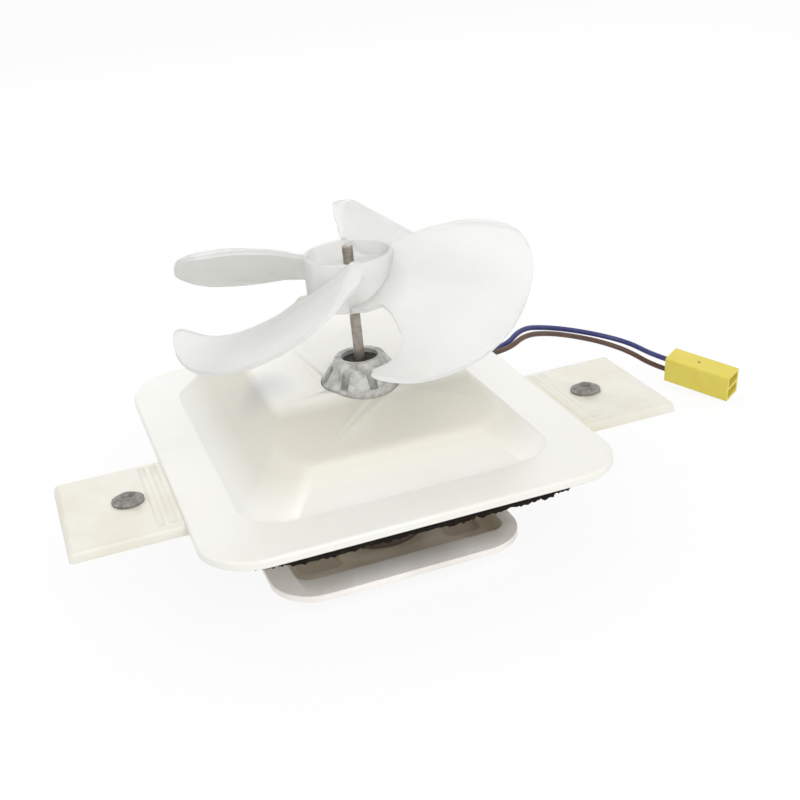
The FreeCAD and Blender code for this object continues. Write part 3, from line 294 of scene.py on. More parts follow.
SETTINGS = {"camera_settings": CameraSettings, "shell_settings": ShellSettings,
            "fan_settings": FanSettings, "strap_settings": StrapSettings,
            "tray_settings": TraySettings, "lead_settings": LeadSettings}


def settings(name):
    return getattr(bpy.context.scene, name)


def clamp(value, high=1.0):
    """The value, kept from 0 to high."""
    return min(max(value, 0.0), high)


def deselect():
    bpy.ops.object.select_all(action="DESELECT")


def select_only(piece):
    deselect()
    piece.select_set(True)
    bpy.context.view_layer.objects.active = piece


def put(tree, socket, value):
    """Feeds an input from a socket, a colour or a plain value."""
    if isinstance(value, bpy.types.NodeSocket):
        tree.links.new(value, socket)
    elif socket.type == "RGBA":
        socket.default_value = (*value[:3], 1.0)
    else:
        socket.default_value = value


def add_group(name, inputs, outputs):
    """An empty node group with these sockets: name, kind and default of each input."""
    group = bpy.data.node_groups.new(name, "ShaderNodeTree")
    for label, kind, default in inputs:
        socket = group.interface.new_socket(label, in_out="INPUT",
                                            socket_type="NodeSocket" + kind)
        socket.default_value = default
    for label, kind in outputs:
        group.interface.new_socket(label, in_out="OUTPUT", socket_type="NodeSocket" + kind)
    return group, group.nodes.new("NodeGroupInput"), group.nodes.new("NodeGroupOutput")


def add_mix(tree, first, second, share, kind="MIX"):
    """A colour mixed from two, each a socket or a colour."""
    mix = tree.nodes.new("ShaderNodeMix")
    mix.data_type = "RGBA"
    mix.blend_type = kind
    for index, value in ((6, first), (7, second), (0, share)):
        put(tree, mix.inputs[index], value)
    return mix.outputs[2]


def add_math(tree, operation, *values):
    node = tree.nodes.new("ShaderNodeMath")
    node.operation = operation
    for index, value in enumerate(values):
        put(tree, node.inputs[index], value)
    return node.outputs[0]


def add_place(tree):
    """Where each point lies on the object, in metres."""
    return tree.nodes.new("ShaderNodeTexCoord").outputs["Object"]


def add_axes(tree, place):
    """The place's X, Y and Z as three outputs."""
    split = tree.nodes.new("ShaderNodeSeparateXYZ")
    tree.links.new(place, split.inputs[0])
    return split.outputs


def add_noise(tree, vector, scale, detail, roughness):
    node = tree.nodes.new("ShaderNodeTexNoise")
    put(tree, node.inputs["Vector"], vector)
    put(tree, node.inputs["Scale"], scale)
    put(tree, node.inputs["Detail"], detail)
    put(tree, node.inputs["Roughness"], roughness)
    return node.outputs["Fac"]


def add_range(tree, value, low, high, to_low=0.0, to_high=1.0):
    """The value, stretched from low and high to the other two and kept between them."""
    node = tree.nodes.new("ShaderNodeMapRange")
    for index, number in enumerate((value, low, high, to_low, to_high)):
        put(tree, node.inputs[index], number)
    return node.outputs[0]


def add_spot(tree, centre, radii, softness):
    """A soft round mask, 1 at centre and 0 past the radii, all in metres."""
    place = add_place(tree)
    mapping = tree.nodes.new("ShaderNodeMapping")
    mapping.vector_type = "TEXTURE"
    mapping.inputs["Location"].default_value = centre
    mapping.inputs["Scale"].default_value = radii
    tree.links.new(place, mapping.inputs["Vector"])
    length = tree.nodes.new("ShaderNodeVectorMath")
    length.operation = "LENGTH"
    tree.links.new(mapping.outputs["Vector"], length.inputs[0])
    return add_range(tree, length.outputs["Value"], 1.0 - softness, 1.0, 1.0, 0.0)


def make_mottle_group():
    """Uneven colour, sheen and surface of a moulded or formed plastic."""
    group, start, end = add_group(
        "mottled_plastic",
        [("Color", "Color", (0.8, 0.8, 0.8, 1)), ("Stain", "Color", (0.6, 0.55, 0.45, 1)),
         ("Amount", "Float", 0.3), ("Scale", "Float", 40.0), ("Roughness", "Float", 0.4)],
        [("Color", "Color"), ("Roughness", "Float"), ("Height", "Float")])
    given = start.outputs
    place = add_place(group)
    broad = add_noise(group, place, given["Scale"], detail=4.0, roughness=0.6)
    fine_scale = add_math(group, "MULTIPLY", given["Scale"], SPECK_FINENESS)
    fine = add_noise(group, place, fine_scale, detail=3.0, roughness=0.6)
    patches = add_range(group, broad, low=0.42, high=0.78)
    share = add_math(group, "MULTIPLY", patches, given["Amount"])
    color = add_mix(group, given["Color"], given["Stain"], share)
    specks = add_range(group, fine, low=0.66, high=0.8, to_high=SPECK_SHARE)
    share = add_math(group, "MULTIPLY", specks, given["Amount"])
    group.links.new(add_mix(group, color, given["Stain"], share), end.inputs["Color"])
    rough = add_math(group, "ADD", given["Roughness"],
                     add_math(group, "MULTIPLY", broad, PATCH_ROUGHNESS))
    group.links.new(rough, end.inputs["Roughness"])
    height = add_math(group, "ADD", add_math(group, "MULTIPLY", broad, 0.8),
                      add_math(group, "MULTIPLY", fine, 0.2))
    group.links.new(height, end.inputs["Height"])


def make_metal_group():
    """Cast or worn metal: dark grime in patches, and small pits."""
    group, start, end = add_group(
        "worn_metal",
        [("Color", "Color", (0.6, 0.6, 0.6, 1)), ("Grime", "Color", (0.12, 0.10, 0.08, 1)),
         ("Amount", "Float", 0.4), ("Scale", "Float", 300.0), ("Roughness", "Float", 0.35)],
        [("Color", "Color"), ("Roughness", "Float"), ("Height", "Float")])
    given = start.outputs
    place = add_place(group)
    patches = add_noise(group, place, given["Scale"], detail=5.0, roughness=0.65)
    pits = group.nodes.new("ShaderNodeTexVoronoi")
    group.links.new(place, pits.inputs["Vector"])
    group.links.new(add_math(group, "MULTIPLY", given["Scale"], PIT_FINENESS),
                    pits.inputs["Scale"])
    share = add_math(group, "MULTIPLY", add_range(group, patches, low=0.4, high=0.75),
                     given["Amount"])
    group.links.new(add_mix(group, given["Color"], given["Grime"], share), end.inputs["Color"])
    rough = add_math(group, "ADD", given["Roughness"],
                     add_math(group, "MULTIPLY", share, GRIME_ROUGHNESS))
    group.links.new(rough, end.inputs["Roughness"])
    height = add_math(group, "ADD", patches,
                      add_math(group, "MULTIPLY", pits.outputs["Distance"], 0.4))
    group.links.new(height, end.inputs["Height"])


def new_material(name, metallic=0.0, **sockets):
    """A material whose shader has these plain values, named apart from the frame's own."""
    material = bpy.data.materials.new("dressed_" + name)
    material.use_nodes = True
    shader = material.node_tree.nodes["Principled BSDF"]
    shader.inputs["Metallic"].default_value = metallic
    for label, value in sockets.items():
        shader.inputs[label.replace("_", " ")].default_value = value
    return material.node_tree, shader


def use_group(tree, shader, group, bump, **values):
    """Feeds the shader from a group, with a bump of this depth in metres."""
    node = tree.nodes.new("ShaderNodeGroup")
    node.node_tree = bpy.data.node_groups[group]
    for label, value in values.items():
        put(tree, node.inputs[label], value)
    tree.links.new(node.outputs["Color"], shader.inputs["Base Color"])
    tree.links.new(node.outputs["Roughness"], shader.inputs["Roughness"])
    relief = tree.nodes.new("ShaderNodeBump")
    relief.inputs["Distance"].default_value = bump
    relief.inputs["Strength"].default_value = BUMP_STRENGTH
    tree.links.new(node.outputs["Height"], relief.inputs["Height"])
    tree.links.new(relief.outputs["Normal"], shader.inputs["Normal"])


def make_plastic(name, color, stain, amount=0.3, scale=40.0, roughness=0.4, bump=0.0002,
                 **sockets):
    tree, shader = new_material(name, **sockets)
    use_group(tree, shader, "mottled_plastic", bump, Color=color, Stain=stain, Amount=amount,
              Scale=scale, Roughness=roughness)


def make_metal(name, color, grime, amount=0.4, scale=300.0, roughness=0.35, bump=0.00005,
               metallic=0.9):
    tree, shader = new_material(name, metallic=metallic)
    use_group(tree, shader, "worn_metal", bump, Color=color, Grime=grime, Amount=amount,
              Scale=scale, Roughness=roughness)


def make_shell_material():
    """Milky sheet with painted shade where a bracket screw shows through it, painted shade on the
    hump's walls and painted light on its roof.
    """
    look = settings("shell_settings")
    tree, shader = new_material(
        "milky_sheet", Subsurface_Weight=0.5, Subsurface_Radius=(0.006, 0.006, 0.0052),
        Coat_Weight=0.15, Coat_Roughness=0.25)
    # Painted shade: a grey spot where the first bracket screw shows through the milky sheet.
    low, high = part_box("bracket_screw_1")
    screw_shade_centre = ((low[0] + high[0]) / 2 + SCREW_SHADE_OFFSET[0],
              (low[1] + high[1]) / 2 + SCREW_SHADE_OFFSET[1], high[2])
    spot = add_spot(tree, screw_shade_centre, SCREW_SHADE_RADII, SCREW_SHADE_SOFTNESS)
    color = add_mix(tree, look.color, look.shadow_color,
                    add_math(tree, "MULTIPLY", spot, SCREW_SHADE_SHARE))
    height = add_axes(tree, add_place(tree))["Z"]
    # Painted shade darkens the hump's walls; painted light brightens its roof, which the fan
    # shades.
    hump = add_range(tree, height, *WALL_HEIGHTS, to_high=WALL_SHADE_SHARE)
    below_roof = add_range(tree, height, *ROOF_HEIGHTS, to_low=1.0, to_high=WALL_SHADE_ON_ROOF)
    wall = add_math(tree, "MULTIPLY", hump, below_roof)
    color = add_mix(tree, color, WALL_SHADE_TINT, wall, "MULTIPLY")
    roof = add_range(tree, height, *ROOF_HEIGHTS)
    color = add_mix(tree, color, ROOF_LIGHT_TINT, roof, "MULTIPLY")
    use_group(tree, shader, "mottled_plastic", 0.00025, Color=color, Stain=(0.72, 0.70, 0.60),
              Amount=0.35, Scale=24.0, Roughness=0.28)


def make_connector_material():
    """Yellow plastic with a small dark dot on its top."""
    tree, shader = new_material("connector_plastic", Subsurface_Weight=0.08,
                                Subsurface_Radius=(0.002, 0.0015, 0.0006))
    spot = add_spot(tree, DARK_DOT, DARK_DOT_RADII, DARK_DOT_SOFTNESS)
    marked = add_mix(tree, settings("lead_settings").yellow, DARK_DOT_COLOR, spot)
    use_group(tree, shader, "mottled_plastic", 0.00005, Color=marked, Stain=(0.62, 0.45, 0.07),
              Amount=0.35, Scale=150.0, Roughness=0.36)


def make_damper_material():
    """Dark rubber moulded in concentric rings round the shaft."""
    tree, shader = new_material("ringed_rubber")
    rings = tree.nodes.new("ShaderNodeTexWave")
    rings.wave_type = "RINGS"
    rings.rings_direction = "Z"
    rings.inputs["Scale"].default_value = RING_SCALE
    tree.links.new(add_place(tree), rings.inputs["Vector"])
    ringed = add_mix(tree, settings("tray_settings").rubber, RING_COLOR, rings.outputs["Fac"])
    use_group(tree, shader, "mottled_plastic", 0.0001, Color=ringed, Stain=(0.16, 0.14, 0.11),
              Amount=0.5, Scale=160.0, Roughness=0.55)


def make_tray_material():
    """A pale rim and a floor darkened by painted shade under the cover, with more painted shade in
    the two wells.
    """
    look = settings("tray_settings")
    tree, shader = new_material("tray_sheet", Coat_Weight=0.1, Coat_Roughness=0.3)
    place = add_place(tree)
    axes = add_axes(tree, place)
    low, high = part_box("lower_tray")
    from_middle = add_math(tree, "ABSOLUTE", axes["X"])
    # Painted shade: the floor darkens inside the rim and below it, broken up by noise.
    sides = add_range(tree, from_middle, *(high[0] - inset for inset in SHADE_FROM_SIDE),
                      to_low=1.0, to_high=0.0)
    front = add_range(tree, axes["Y"], *(low[1] + inset for inset in SHADE_FROM_FRONT))
    inside = add_math(tree, "MULTIPLY", sides, front)
    depth = add_range(tree, axes["Z"], *(high[2] - drop for drop in SHADE_BELOW_RIM),
                      to_low=1.0, to_high=0.0)
    shade_patches = add_noise(tree, place, SHADE_NOISE_SCALE, detail=5.0, roughness=0.65)
    share = add_math(tree, "MULTIPLY", add_math(tree, "MULTIPLY", inside, depth),
                     add_range(tree, shade_patches, *SHADE_NOISE, *SHADE_NOISE_SHARE))
    # More painted shade low down in the two wells.
    well = add_range(tree, axes["Z"], *WELL_SHADE_HEIGHTS, to_low=WELL_SHADE_SHARE, to_high=0.0)
    color = add_mix(tree, look.rim_color, look.inner_shade_color, share)
    color = add_mix(tree, color, WELL_SHADE_COLOR, well)
    use_group(tree, shader, "mottled_plastic", 0.0002, Color=color, Stain=(0.45, 0.38, 0.30),
              Amount=0.4, Scale=45.0, Roughness=0.35)


def make_materials():
    """Every finish that NODE_FINISH names, and steel."""
    make_mottle_group()
    make_metal_group()
    fan = settings("fan_settings")
    strap = settings("strap_settings")
    tray = settings("tray_settings")
    lead = settings("lead_settings")
    make_shell_material()
    make_tray_material()
    make_plastic("fan_plastic", fan.color, (0.70, 0.69, 0.64), amount=0.25, scale=30.0,
                 roughness=0.34, bump=0.00015, Subsurface_Weight=0.35,
                 Subsurface_Radius=(0.004, 0.004, 0.004), Transmission_Weight=0.5, IOR=1.2)
    make_plastic("strap_plastic", strap.color, (0.62, 0.54, 0.38), amount=0.5, scale=55.0,
                 roughness=0.3, bump=0.0004, Subsurface_Weight=0.15,
                 Subsurface_Radius=(0.004, 0.0035, 0.002), Coat_Weight=0.2, Coat_Roughness=0.2)
    make_plastic("rubber", tray.rubber, (0.16, 0.14, 0.11), amount=0.5, scale=160.0,
                 roughness=0.6, bump=0.0001)
    make_plastic("foam", tray.foam, (0.04, 0.03, 0.024), amount=0.6, scale=420.0, roughness=0.9,
                 bump=0.0008, Specular_IOR_Level=0.1)
    make_plastic("bobbin_plastic", (0.60, 0.57, 0.48), (0.42, 0.38, 0.28), scale=60.0)
    make_plastic("tape", (0.55, 0.47, 0.16), (0.30, 0.24, 0.08), amount=0.4, scale=120.0,
                 roughness=0.3)
    make_plastic("felt", (0.50, 0.46, 0.38), (0.16, 0.13, 0.09), amount=0.7, scale=600.0,
                 roughness=0.9, bump=0.0005)
    make_plastic("wire_blue", lead.blue, (0.10, 0.11, 0.30), amount=0.35, scale=220.0,
                 roughness=0.32, bump=0.00004)
    make_plastic("wire_brown", lead.brown, (0.16, 0.10, 0.07), amount=0.45, scale=220.0,
                 roughness=0.35, bump=0.00004)
    make_connector_material()
    make_damper_material()
    make_metal("die_cast", (0.66, 0.66, 0.64), (0.27, 0.26, 0.24), amount=0.8, scale=330.0,
               roughness=0.55, bump=0.0007, metallic=0.45)
    make_metal("steel", strap.steel, (0.06, 0.052, 0.045), amount=0.7, scale=520.0,
               roughness=0.5, bump=0.0002, metallic=0.35)
    # Painted shade: near black for the dark hole round the shaft, laid on the felt, retainer,
    # collar and bearing there.
    make_metal("hole_shade", (0.045, 0.04, 0.035), (0.02, 0.017, 0.014), amount=0.6, scale=500.0,
               roughness=0.6, bump=0.0001, metallic=0.2)
    make_metal("shaft_steel", (0.40, 0.37, 0.33), (0.16, 0.12, 0.09), amount=0.7, scale=380.0,
               roughness=0.34)
    make_metal("iron", (0.22, 0.23, 0.25), (0.10, 0.07, 0.05), amount=0.5, scale=200.0,
               roughness=0.5, bump=0.0001, metallic=0.7)
    make_metal("copper", (0.72, 0.36, 0.20), (0.25, 0.12, 0.07))
    make_metal("winding", (0.45, 0.16, 0.07), (0.16, 0.05, 0.03), amount=0.5, scale=500.0)
    make_metal("bronze", (0.50, 0.34, 0.18), (0.18, 0.11, 0.06), amount=0.5, scale=500.0,
               roughness=0.5)


def paint(piece, node):
    """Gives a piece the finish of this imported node."""
    piece.data.materials.clear()
    piece.data.materials.append(bpy.data.materials["dressed_" + NODE_FINISH.get(node, "steel")])


def copy_node(name, label):
    """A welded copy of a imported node, which it replaces, at the same place."""
    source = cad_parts[name]
    piece = bpy.data.objects.new(label, source.data.copy())
    bpy.context.collection.objects.link(piece)
    select_only(piece)
    bpy.ops.object.mode_set(mode="EDIT")
    bpy.ops.mesh.select_all(action="SELECT")
    bpy.ops.mesh.remove_doubles(threshold=WELD)
    bpy.ops.mesh.dissolve_limited(angle_limit=math.radians(0.3))
    bpy.ops.object.mode_set(mode="OBJECT")
    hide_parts(name)
    return piece


def round_edges(piece, width, segments=2, angle=40.0):
    """Rounds the edges that are sharper than this many degrees."""
    select_only(piece)
    bevel = piece.modifiers.new("rounding", "BEVEL")
    bevel.width = width
    bevel.segments = segments
    bevel.limit_method = "ANGLE"
    bevel.angle_limit = math.radians(angle)
    bevel.use_clamp_overlap = True
    bpy.ops.object.modifier_apply(modifier=bevel.name)


def smooth(piece, angle=30.0):
    """Shades the piece smooth but for edges sharper than this many degrees."""
    select_only(piece)
    bpy.ops.object.shade_smooth_by_angle(angle=math.radians(angle))


def finish_piece(piece, node, body=BODY):
    """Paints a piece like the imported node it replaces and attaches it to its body."""
    paint(piece, node)
    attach(piece, body)


def connector_pose():
    """Where the connector lies and how it is turned."""
    roll, pitch, yaw = (math.radians(value) for value in CONNECTOR_TURN)
    turned = (Matrix.Rotation(yaw, 4, "Z") @ Matrix.Rotation(pitch, 4, "Y")
              @ Matrix.Rotation(roll, 4, "X"))
    return Matrix.Translation(Vector(CONNECTOR_PLACE) * MM) @ turned


def wire_points(shade):
    """The wire's control points, from the grommet to the connector."""
    start = Vector(WIRE_START[shade]) * MM
    pose = connector_pose()
    offset = WIRE_OFFSET[shade] * MM
    places = [start, start + Vector((FIRST_RUN * MM, 0, 0))]
    places += [Vector(place) * MM for place in WIRE_ROUTE[shade]]
    return places + [pose @ Vector((-LAST_RUN * MM, 0, offset)), pose @ Vector((0, 0, offset))]


def add_wire(shade, diameter):
    """One wire as a round NURBS curve from the grommet to the connector."""
    curve = bpy.data.curves.new("lead_%s" % shade, "CURVE")
    curve.dimensions = "3D"
    spline = curve.splines.new("NURBS")
    places = wire_points(shade)
    spline.points.add(len(places) - 1)
    for point, place in zip(spline.points, places):
        point.co = (*place, 1.0)
    spline.order_u = 3
    spline.use_endpoint_u = True
    spline.resolution_u = 16
    curve.bevel_depth = diameter / 2
    curve.bevel_resolution = 5
    curve.use_fill_caps = True
    wire = bpy.data.objects.new("lead_%s" % shade, curve)
    bpy.context.collection.objects.link(wire)
    return wire


def trim_tray(piece):
    """Draws the tray's rim in at its right end and its front, and its pocket out at its left."""
    middle, half = (TRAY_FRONT + TRAY_BACK) / 2, (TRAY_BACK - TRAY_FRONT) / 2
    for vertex in piece.data.vertices:
        x, y = vertex.co.x / MM, vertex.co.y / MM
        across = abs(x) - TRAY_SIDE + TRAY_CORNER
        along = abs(y - middle) - half + TRAY_CORNER
        outside = (math.hypot(max(across, 0), max(along, 0)) + min(max(across, along), 0)
                   - TRAY_CORNER)
        if outside > -TRAY_LIP:
            x -= TRAY_TRIM_RIGHT * (x + TRAY_SIDE) / (2 * TRAY_SIDE)
            y += TRAY_TRIM_FRONT * max(y / TRAY_FRONT, 0)
        else:
            x -= POCKET_GROWTH * clamp((-x - POCKET_GROWTH_START) / POCKET_GROWTH_RUN)
        vertex.co.x, vertex.co.y = x * MM, y * MM


def follow(law, place):
    """The law's value at this place, on a smooth curve through its points."""
    last = len(law) - 1
    i = max(k for k in range(last) if k == 0 or law[k][0] <= place)
    x = [law[min(max(k, 0), last)][0] for k in (i - 1, i, i + 1, i + 2)]
    y = [law[min(max(k, 0), last)][1] for k in (i - 1, i, i + 1, i + 2)]
    width = x[2] - x[1]
    slopes = [(y[k + 1] - y[k]) / (x[k + 1] - x[k]) if x[k + 1] > x[k] else 0.0
              for k in range(3)]
    start, end = (0.0 if one * other <= 0 else 2 * one * other / (one + other)
                  for one, other in zip(slopes, slopes[1:]))
    t = clamp((place - x[1]) / width)
    rest = 1 - t
    return ((1 + 2 * t) * rest * rest * y[1] + t * rest * rest * width * start
            + t * t * (3 - 2 * t) * y[2] - t * t * rest * width * end)


def between(pair, share):
    return pair[0] + (pair[1] - pair[0]) * share


def blade_height(radius, angle):
    """Height of a blade's upper side: level past the high edge, down to a trough, then up."""
    share = clamp((radius - BLADE_ROOT) / BLADE_RUN)
    high = follow(HIGH_HEIGHT, radius)
    start = follow(HIGH_ANGLE, radius) - between(FLAT_START, share * share)
    trough = between(TROUGH_ANGLE, share)
    across = clamp((start - angle) / (start - trough))
    fall = 1 - (1 - across) ** between(POWER, share)
    past = clamp((trough - angle) / TIP_ANGLE, 2.0)
    return (high + (follow(TROUGH_HEIGHT, radius) - high) * fall
            + TIP_RISE * share * past * past)


def corner_turn(radius, corner):
    """How far a corner of this radius turns the blade's edge in, in degrees."""
    into = clamp((radius - BLADE_RADIUS + corner) / corner)
    return math.degrees(corner * (1 - math.sqrt(max(1 - into * into, 0.0))) / radius)


def shape_blade(blade, turned):
    """Lays a flat grid of the unit square on the blade's surface, turned by these degrees."""
    root = HUB_RADIUS - BLADE_SINK
    for vertex in blade.data.vertices:
        along = math.sin((vertex.co.x + 0.5) * math.pi / 2)
        radius = root + (BLADE_RADIUS - HUB_RADIUS + BLADE_SINK) * along
        high = follow(HIGH_ANGLE, radius) - corner_turn(radius, HIGH_CORNER)
        low = follow(LOW_ANGLE, radius) + corner_turn(radius, LOW_CORNER)
        angle = high + (low - high) * (0.5 - vertex.co.y)
        place = math.radians(angle + turned)
        vertex.co = Vector((radius * math.cos(place), radius * math.sin(place),
                            blade_height(radius, angle))) * MM


def add_blade(turned):
    """One twisted blade, a sheet with rounded edges."""
    deselect()
    bpy.ops.mesh.primitive_grid_add(x_subdivisions=44, y_subdivisions=56, size=1.0,
                                    location=(0, 0, 0))
    blade = bpy.context.object
    shape_blade(blade, turned)
    sheet = blade.modifiers.new("sheet", "SOLIDIFY")
    sheet.thickness = BLADE_THICKNESS * MM
    sheet.offset = -1.0
    sheet.use_even_offset = True
    bpy.ops.object.modifier_apply(modifier=sheet.name)
    round_edges(blade, settings("fan_settings").edge_round, segments=3, angle=50.0)
    return blade


def add_hub():
    """The fan's hub: an open cup with a boss for the shaft, turned from its profile."""
    inner, underside = HUB_RADIUS - HUB_WALL, HUB_FLOOR - HUB_WALL
    profile = ((BORE, HUB_FOOT), (BOSS_RADIUS, HUB_FOOT), (BOSS_RADIUS, underside),
               (inner, underside), (inner, HUB_FOOT), (HUB_RADIUS, HUB_FOOT),
               (HUB_RADIUS, HUB_RIM), (inner, HUB_RIM), (inner, HUB_FLOOR),
               (BOSS_RADIUS, HUB_FLOOR), (BOSS_RADIUS, BOSS_TOP), (BORE, BOSS_TOP))
    mesh = bpy.data.meshes.new("hub")
    mesh.from_pydata([(radius * MM, 0, height * MM) for radius, height in profile],
                     [(i, (i + 1) % len(profile)) for i in range(len(profile))], [])
    hub = bpy.data.objects.new("hub", mesh)
    bpy.context.collection.objects.link(hub)
    select_only(hub)
    bpy.ops.object.mode_set(mode="EDIT")
    bpy.ops.mesh.select_all(action="SELECT")
    bpy.ops.mesh.spin(steps=72, angle=2 * math.pi, center=(0, 0, 0), axis=(0, 0, 1))
    bpy.ops.mesh.select_all(action="SELECT")
    bpy.ops.mesh.remove_doubles(threshold=WELD)
    bpy.ops.mesh.normals_make_consistent(inside=False)
    bpy.ops.object.mode_set(mode="OBJECT")
    round_edges(hub, HUB_ROUND * MM, segments=3)
    return hub


def recess_head(screw):
    """Sinks a driver's recess into the flat top of a screw's head."""
    top = max(vertex.co.z for vertex in screw.data.vertices)
    bpy.ops.object.mode_set(mode="EDIT")
    bpy.ops.mesh.select_mode(type="FACE")
    bpy.ops.mesh.select_all(action="DESELECT")
    bpy.ops.object.mode_set(mode="OBJECT")
    for polygon in screw.data.polygons:
        polygon.select = polygon.normal.z > 0.9 and top - polygon.center.z < HEAD_SKIN
    bpy.ops.object.mode_set(mode="EDIT")
    bpy.ops.mesh.inset(thickness=RECESS_EDGE, depth=0.0)
    bpy.ops.mesh.inset(thickness=RECESS_SLOPE, depth=-RECESS_DEPTH)
    bpy.ops.object.mode_set(mode="OBJECT")


def tear(piece):
    """Pulls the strip's lower side down along the front and frays it, but not its glued side."""
    low, top = (corner.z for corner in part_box("foam_front"))
    for vertex in piece.data.vertices:
        shift = Vector()
        for fineness, strength in FOAM_NOISE:
            shift += noise.noise_vector(vertex.co * fineness) * strength
        shift *= FOAM_TEAR
        below = clamp((top - vertex.co.z) / (top - low))
        inside = min(vertex.co.x - FOAM_ENDS[0], FOAM_ENDS[1] - vertex.co.x) / FOAM_FADE
        full = clamp(inside) if vertex.co.y < 0 else FOAM_BACK
        drop = full * FOAM_SAG - (1.0 - full) * FOAM_LIFT * (top - low)
        vertex.co += Vector((shift.x, shift.y, shift.z - drop)) * below
        vertex.co.z = min(vertex.co.z, top)


def seen_directly(tree):
    """1 for what the camera, a reflection or a clear piece shows, 0 for light on the object."""
    path = tree.nodes.new("ShaderNodeLightPath")
    seen = add_math(tree, "MAXIMUM", path.outputs["Is Camera Ray"], path.outputs["Is Glossy Ray"])
    return add_math(tree, "MAXIMUM", seen, path.outputs["Is Transmission Ray"])


def make_floor_material():
    """White paper: most of its whiteness is its own, the rest takes the object's soft shadow."""
    material = bpy.data.materials.new("white_paper")
    material.use_nodes = True
    tree = material.node_tree
    shader = tree.nodes["Principled BSDF"]
    put(tree, shader.inputs["Base Color"], (0.92, 0.92, 0.92))
    shader.inputs["Roughness"].default_value = 0.9
    shader.inputs["Specular IOR Level"].default_value = 0.0
    glow = tree.nodes.new("ShaderNodeEmission")
    put(tree, glow.inputs["Color"], (1.0, 1.0, 1.0))
    mix = tree.nodes.new("ShaderNodeMixShader")
    put(tree, mix.inputs[0], add_math(tree, "MULTIPLY", seen_directly(tree), FLOOR_GLOW))
    tree.links.new(shader.outputs[0], mix.inputs[1])
    tree.links.new(glow.outputs[0], mix.inputs[2])
    tree.links.new(mix.outputs[0], tree.nodes["Material Output"].inputs["Surface"])
    return material


def add_lamp(name, place, size, power):
    """A square lamp that points at the object."""
    data = bpy.data.lights.new(name, "AREA")
    data.size = size
    data.energy = power
    lamp = bpy.data.objects.new(name, data)
    bpy.context.collection.objects.link(lamp)
    lamp.location = place
    aim = Vector(LAMP_TARGET) - Vector(place)
    lamp.rotation_euler = aim.to_track_quat("-Z", "Y").to_euler()


class FANMOTOR_OT_camera(bpy.types.Operator):
    """Place the camera as the photograph was taken"""
    bl_idname = "fanmotor.camera"
    bl_label = "Camera"

    def execute(self, context):
        look = settings("camera_settings")
        back = Vector((math.sin(look.azimuth) * math.cos(look.elevation),
                       -math.cos(look.azimuth) * math.cos(look.elevation),
                       math.sin(look.elevation)))
        right = Vector((math.cos(look.azimuth), math.sin(look.azimuth), 0))
        up = back.cross(right)
        turned_right = math.cos(look.roll) * right + math.sin(look.roll) * up
        turned_up = math.cos(look.roll) * up - math.sin(look.roll) * right
        data = bpy.data.cameras.new("photo_camera")
        data.lens = look.lens
        data.sensor_width = 36.0
        data.clip_start = 0.01
        camera = bpy.data.objects.new("photo_camera", data)
        context.collection.objects.link(camera)
        axes = Matrix((turned_right, turned_up, back)).transposed().to_4x4()
        camera.matrix_world = Matrix.Translation(look.place) @ axes
        context.scene.camera = camera
        return {"FINISHED"}


class FANMOTOR_OT_lead(bpy.types.Operator):
    """Lay the two wires"""
    bl_idname = "fanmotor.lead"
    bl_label = "Lead"

    def execute(self, context):
        diameter = settings("lead_settings").diameter
        for shade in ("blue", "brown"):
            wire = add_wire(shade, diameter)
            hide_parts("wire_" + shade)
            finish_piece(wire, "wire_" + shade)
        return {"FINISHED"}


class FANMOTOR_OT_carried(bpy.types.Operator):
    """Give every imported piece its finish"""
    bl_idname = "fanmotor.carried"
    bl_label = "Motor pieces"

    def execute(self, context):
        for name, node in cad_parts.items():
            paint(node, name)
        return {"FINISHED"}


class FANMOTOR_OT_covers(bpy.types.Operator):
    """Finish the top cover and the lower tray"""
    bl_idname = "fanmotor.covers"
    bl_label = "Covers"

    def execute(self, context):
        for name, label, slot in (("top_shell", "cover", "shell_plastic"),
                                  ("lower_tray", "tray", "tray_plastic")):
            piece = copy_node(name, label)
            if name == "lower_tray":
                trim_tray(piece)
            round_edges(piece, settings("shell_settings").edge_round)
            smooth(piece)
            finish_piece(piece, name)
        return {"FINISHED"}


class FANMOTOR_OT_fan(bpy.types.Operator):
    """Model the one-piece fan: a cup-shaped hub and four twisted blades"""
    bl_idname = "fanmotor.fan"
    bl_label = "Fan"

    def execute(self, context):
        blades = [add_blade(90.0 * i) for i in range(4)]
        hub = add_hub()
        deselect()
        for piece in blades + [hub]:
            piece.select_set(True)
        context.view_layer.objects.active = hub
        bpy.ops.object.join()
        hub.name = "four_blade_fan"
        smooth(hub, angle=40.0)
        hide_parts("fan")
        finish_piece(hub, "fan", ROTOR)
        return {"FINISHED"}


class FANMOTOR_OT_strap(bpy.types.Operator):
    """Finish the cross strap and its two screws"""
    bl_idname = "fanmotor.strap"
    bl_label = "Strap"

    def execute(self, context):
        piece = copy_node("cross_strap", "strap")
        for vertex in piece.data.vertices:
            vertex.co.z -= max(vertex.co.z - STRAP_TOP, 0.0) * RIB_WEAR
        round_edges(piece, STRAP_ROUND)
        smooth(piece)
        finish_piece(piece, "cross_strap")
        for name in ("strap_screw_left", "strap_screw_right"):
            screw = copy_node(name, name + "_head")
            recess_head(screw)
            smooth(screw)
            finish_piece(screw, name)
        return {"FINISHED"}


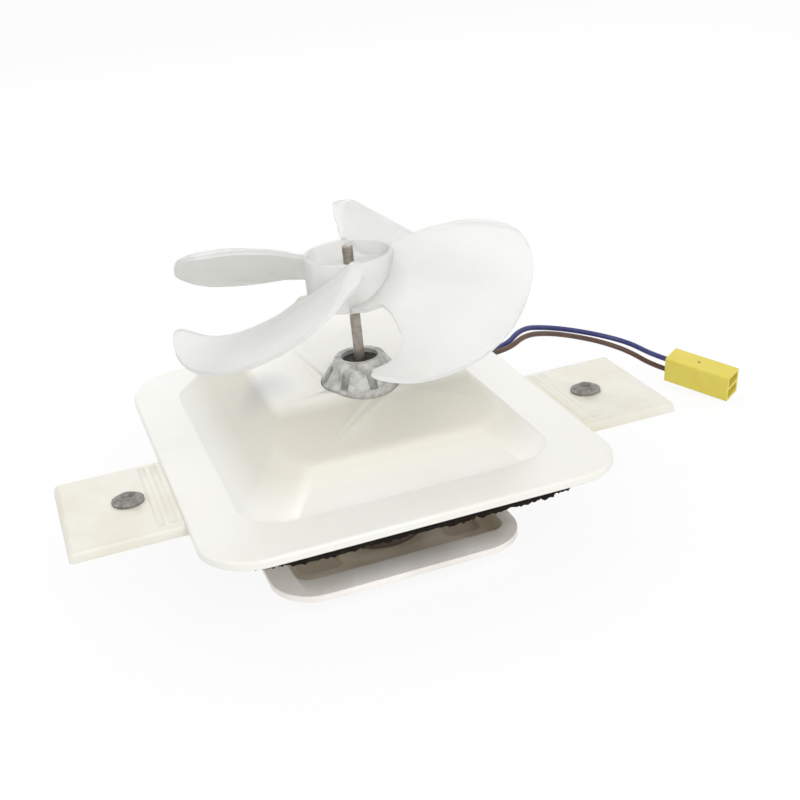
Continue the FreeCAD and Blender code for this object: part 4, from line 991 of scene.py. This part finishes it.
class FANMOTOR_OT_foam(bpy.types.Operator):
    """Tear the foam strip's edges"""
    bl_idname = "fanmotor.foam"
    bl_label = "Foam"

    def execute(self, context):
        noise.seed_set(FOAM_SEED)
        for name in ("foam_front", "foam_back"):
            piece = copy_node(name, "torn_" + name)
            remesh = piece.modifiers.new("cells", "REMESH")
            remesh.mode = "VOXEL"
            remesh.voxel_size = FOAM_VOXEL
            bpy.ops.object.modifier_apply(modifier=remesh.name)
            tear(piece)
            smooth(piece, angle=60.0)
            finish_piece(piece, name)
        return {"FINISHED"}


class FANMOTOR_OT_stage(bpy.types.Operator):
    """Add the floor, the lamps and the white surroundings"""
    bl_idname = "fanmotor.stage"
    bl_label = "Stage"

    def execute(self, context):
        deselect()
        bpy.ops.mesh.primitive_plane_add(size=6.0, location=FLOOR_PLACE)
        floor = context.object
        floor.name = "floor"
        floor.data.materials.append(make_floor_material())
        for lamp in LAMPS:
            add_lamp(*lamp)
        world = bpy.data.worlds.new("surroundings")
        context.scene.world = world
        world.use_nodes = True
        tree = world.node_tree
        background = tree.nodes["Background"]
        put(tree, background.inputs["Color"], (1.0, 1.0, 1.0))
        strength = add_range(tree, seen_directly(tree), 0.0, 1.0, WORLD_LIGHT, WORLD_SEEN)
        tree.links.new(strength, background.inputs["Strength"])
        context.scene.view_settings.view_transform = "Standard"
        return {"FINISHED"}


STEPS = (FANMOTOR_OT_camera, FANMOTOR_OT_lead, FANMOTOR_OT_carried, FANMOTOR_OT_covers,
         FANMOTOR_OT_fan, FANMOTOR_OT_strap, FANMOTOR_OT_foam, FANMOTOR_OT_stage)


class FANMOTOR_PT_panel(bpy.types.Panel):
    """Lists the steps that dress the fan motor"""
    bl_idname = "FANMOTOR_PT_panel"
    bl_label = "Fan motor"
    bl_space_type = "VIEW_3D"
    bl_region_type = "UI"
    bl_category = "Fan motor"

    def draw(self, context):
        for step in STEPS:
            self.layout.operator(step.bl_idname)


def register():
    for name, group in SETTINGS.items():
        bpy.utils.register_class(group)
        setattr(bpy.types.Scene, name, bpy.props.PointerProperty(type=group))
    for step in STEPS + (FANMOTOR_PT_panel,):
        bpy.utils.register_class(step)


def unregister():
    for step in reversed(STEPS + (FANMOTOR_PT_panel,)):
        bpy.utils.unregister_class(step)
    for name, group in SETTINGS.items():
        delattr(bpy.types.Scene, name)
        bpy.utils.unregister_class(group)


def main():
    register()
    make_materials()
    bpy.ops.fanmotor.camera()
    bpy.ops.fanmotor.lead()
    bpy.ops.fanmotor.carried()
    bpy.ops.fanmotor.covers()
    bpy.ops.fanmotor.fan()
    bpy.ops.fanmotor.strap()
    bpy.ops.fanmotor.foam()
    bpy.ops.fanmotor.stage()


if __name__ == "__main__":
    main()
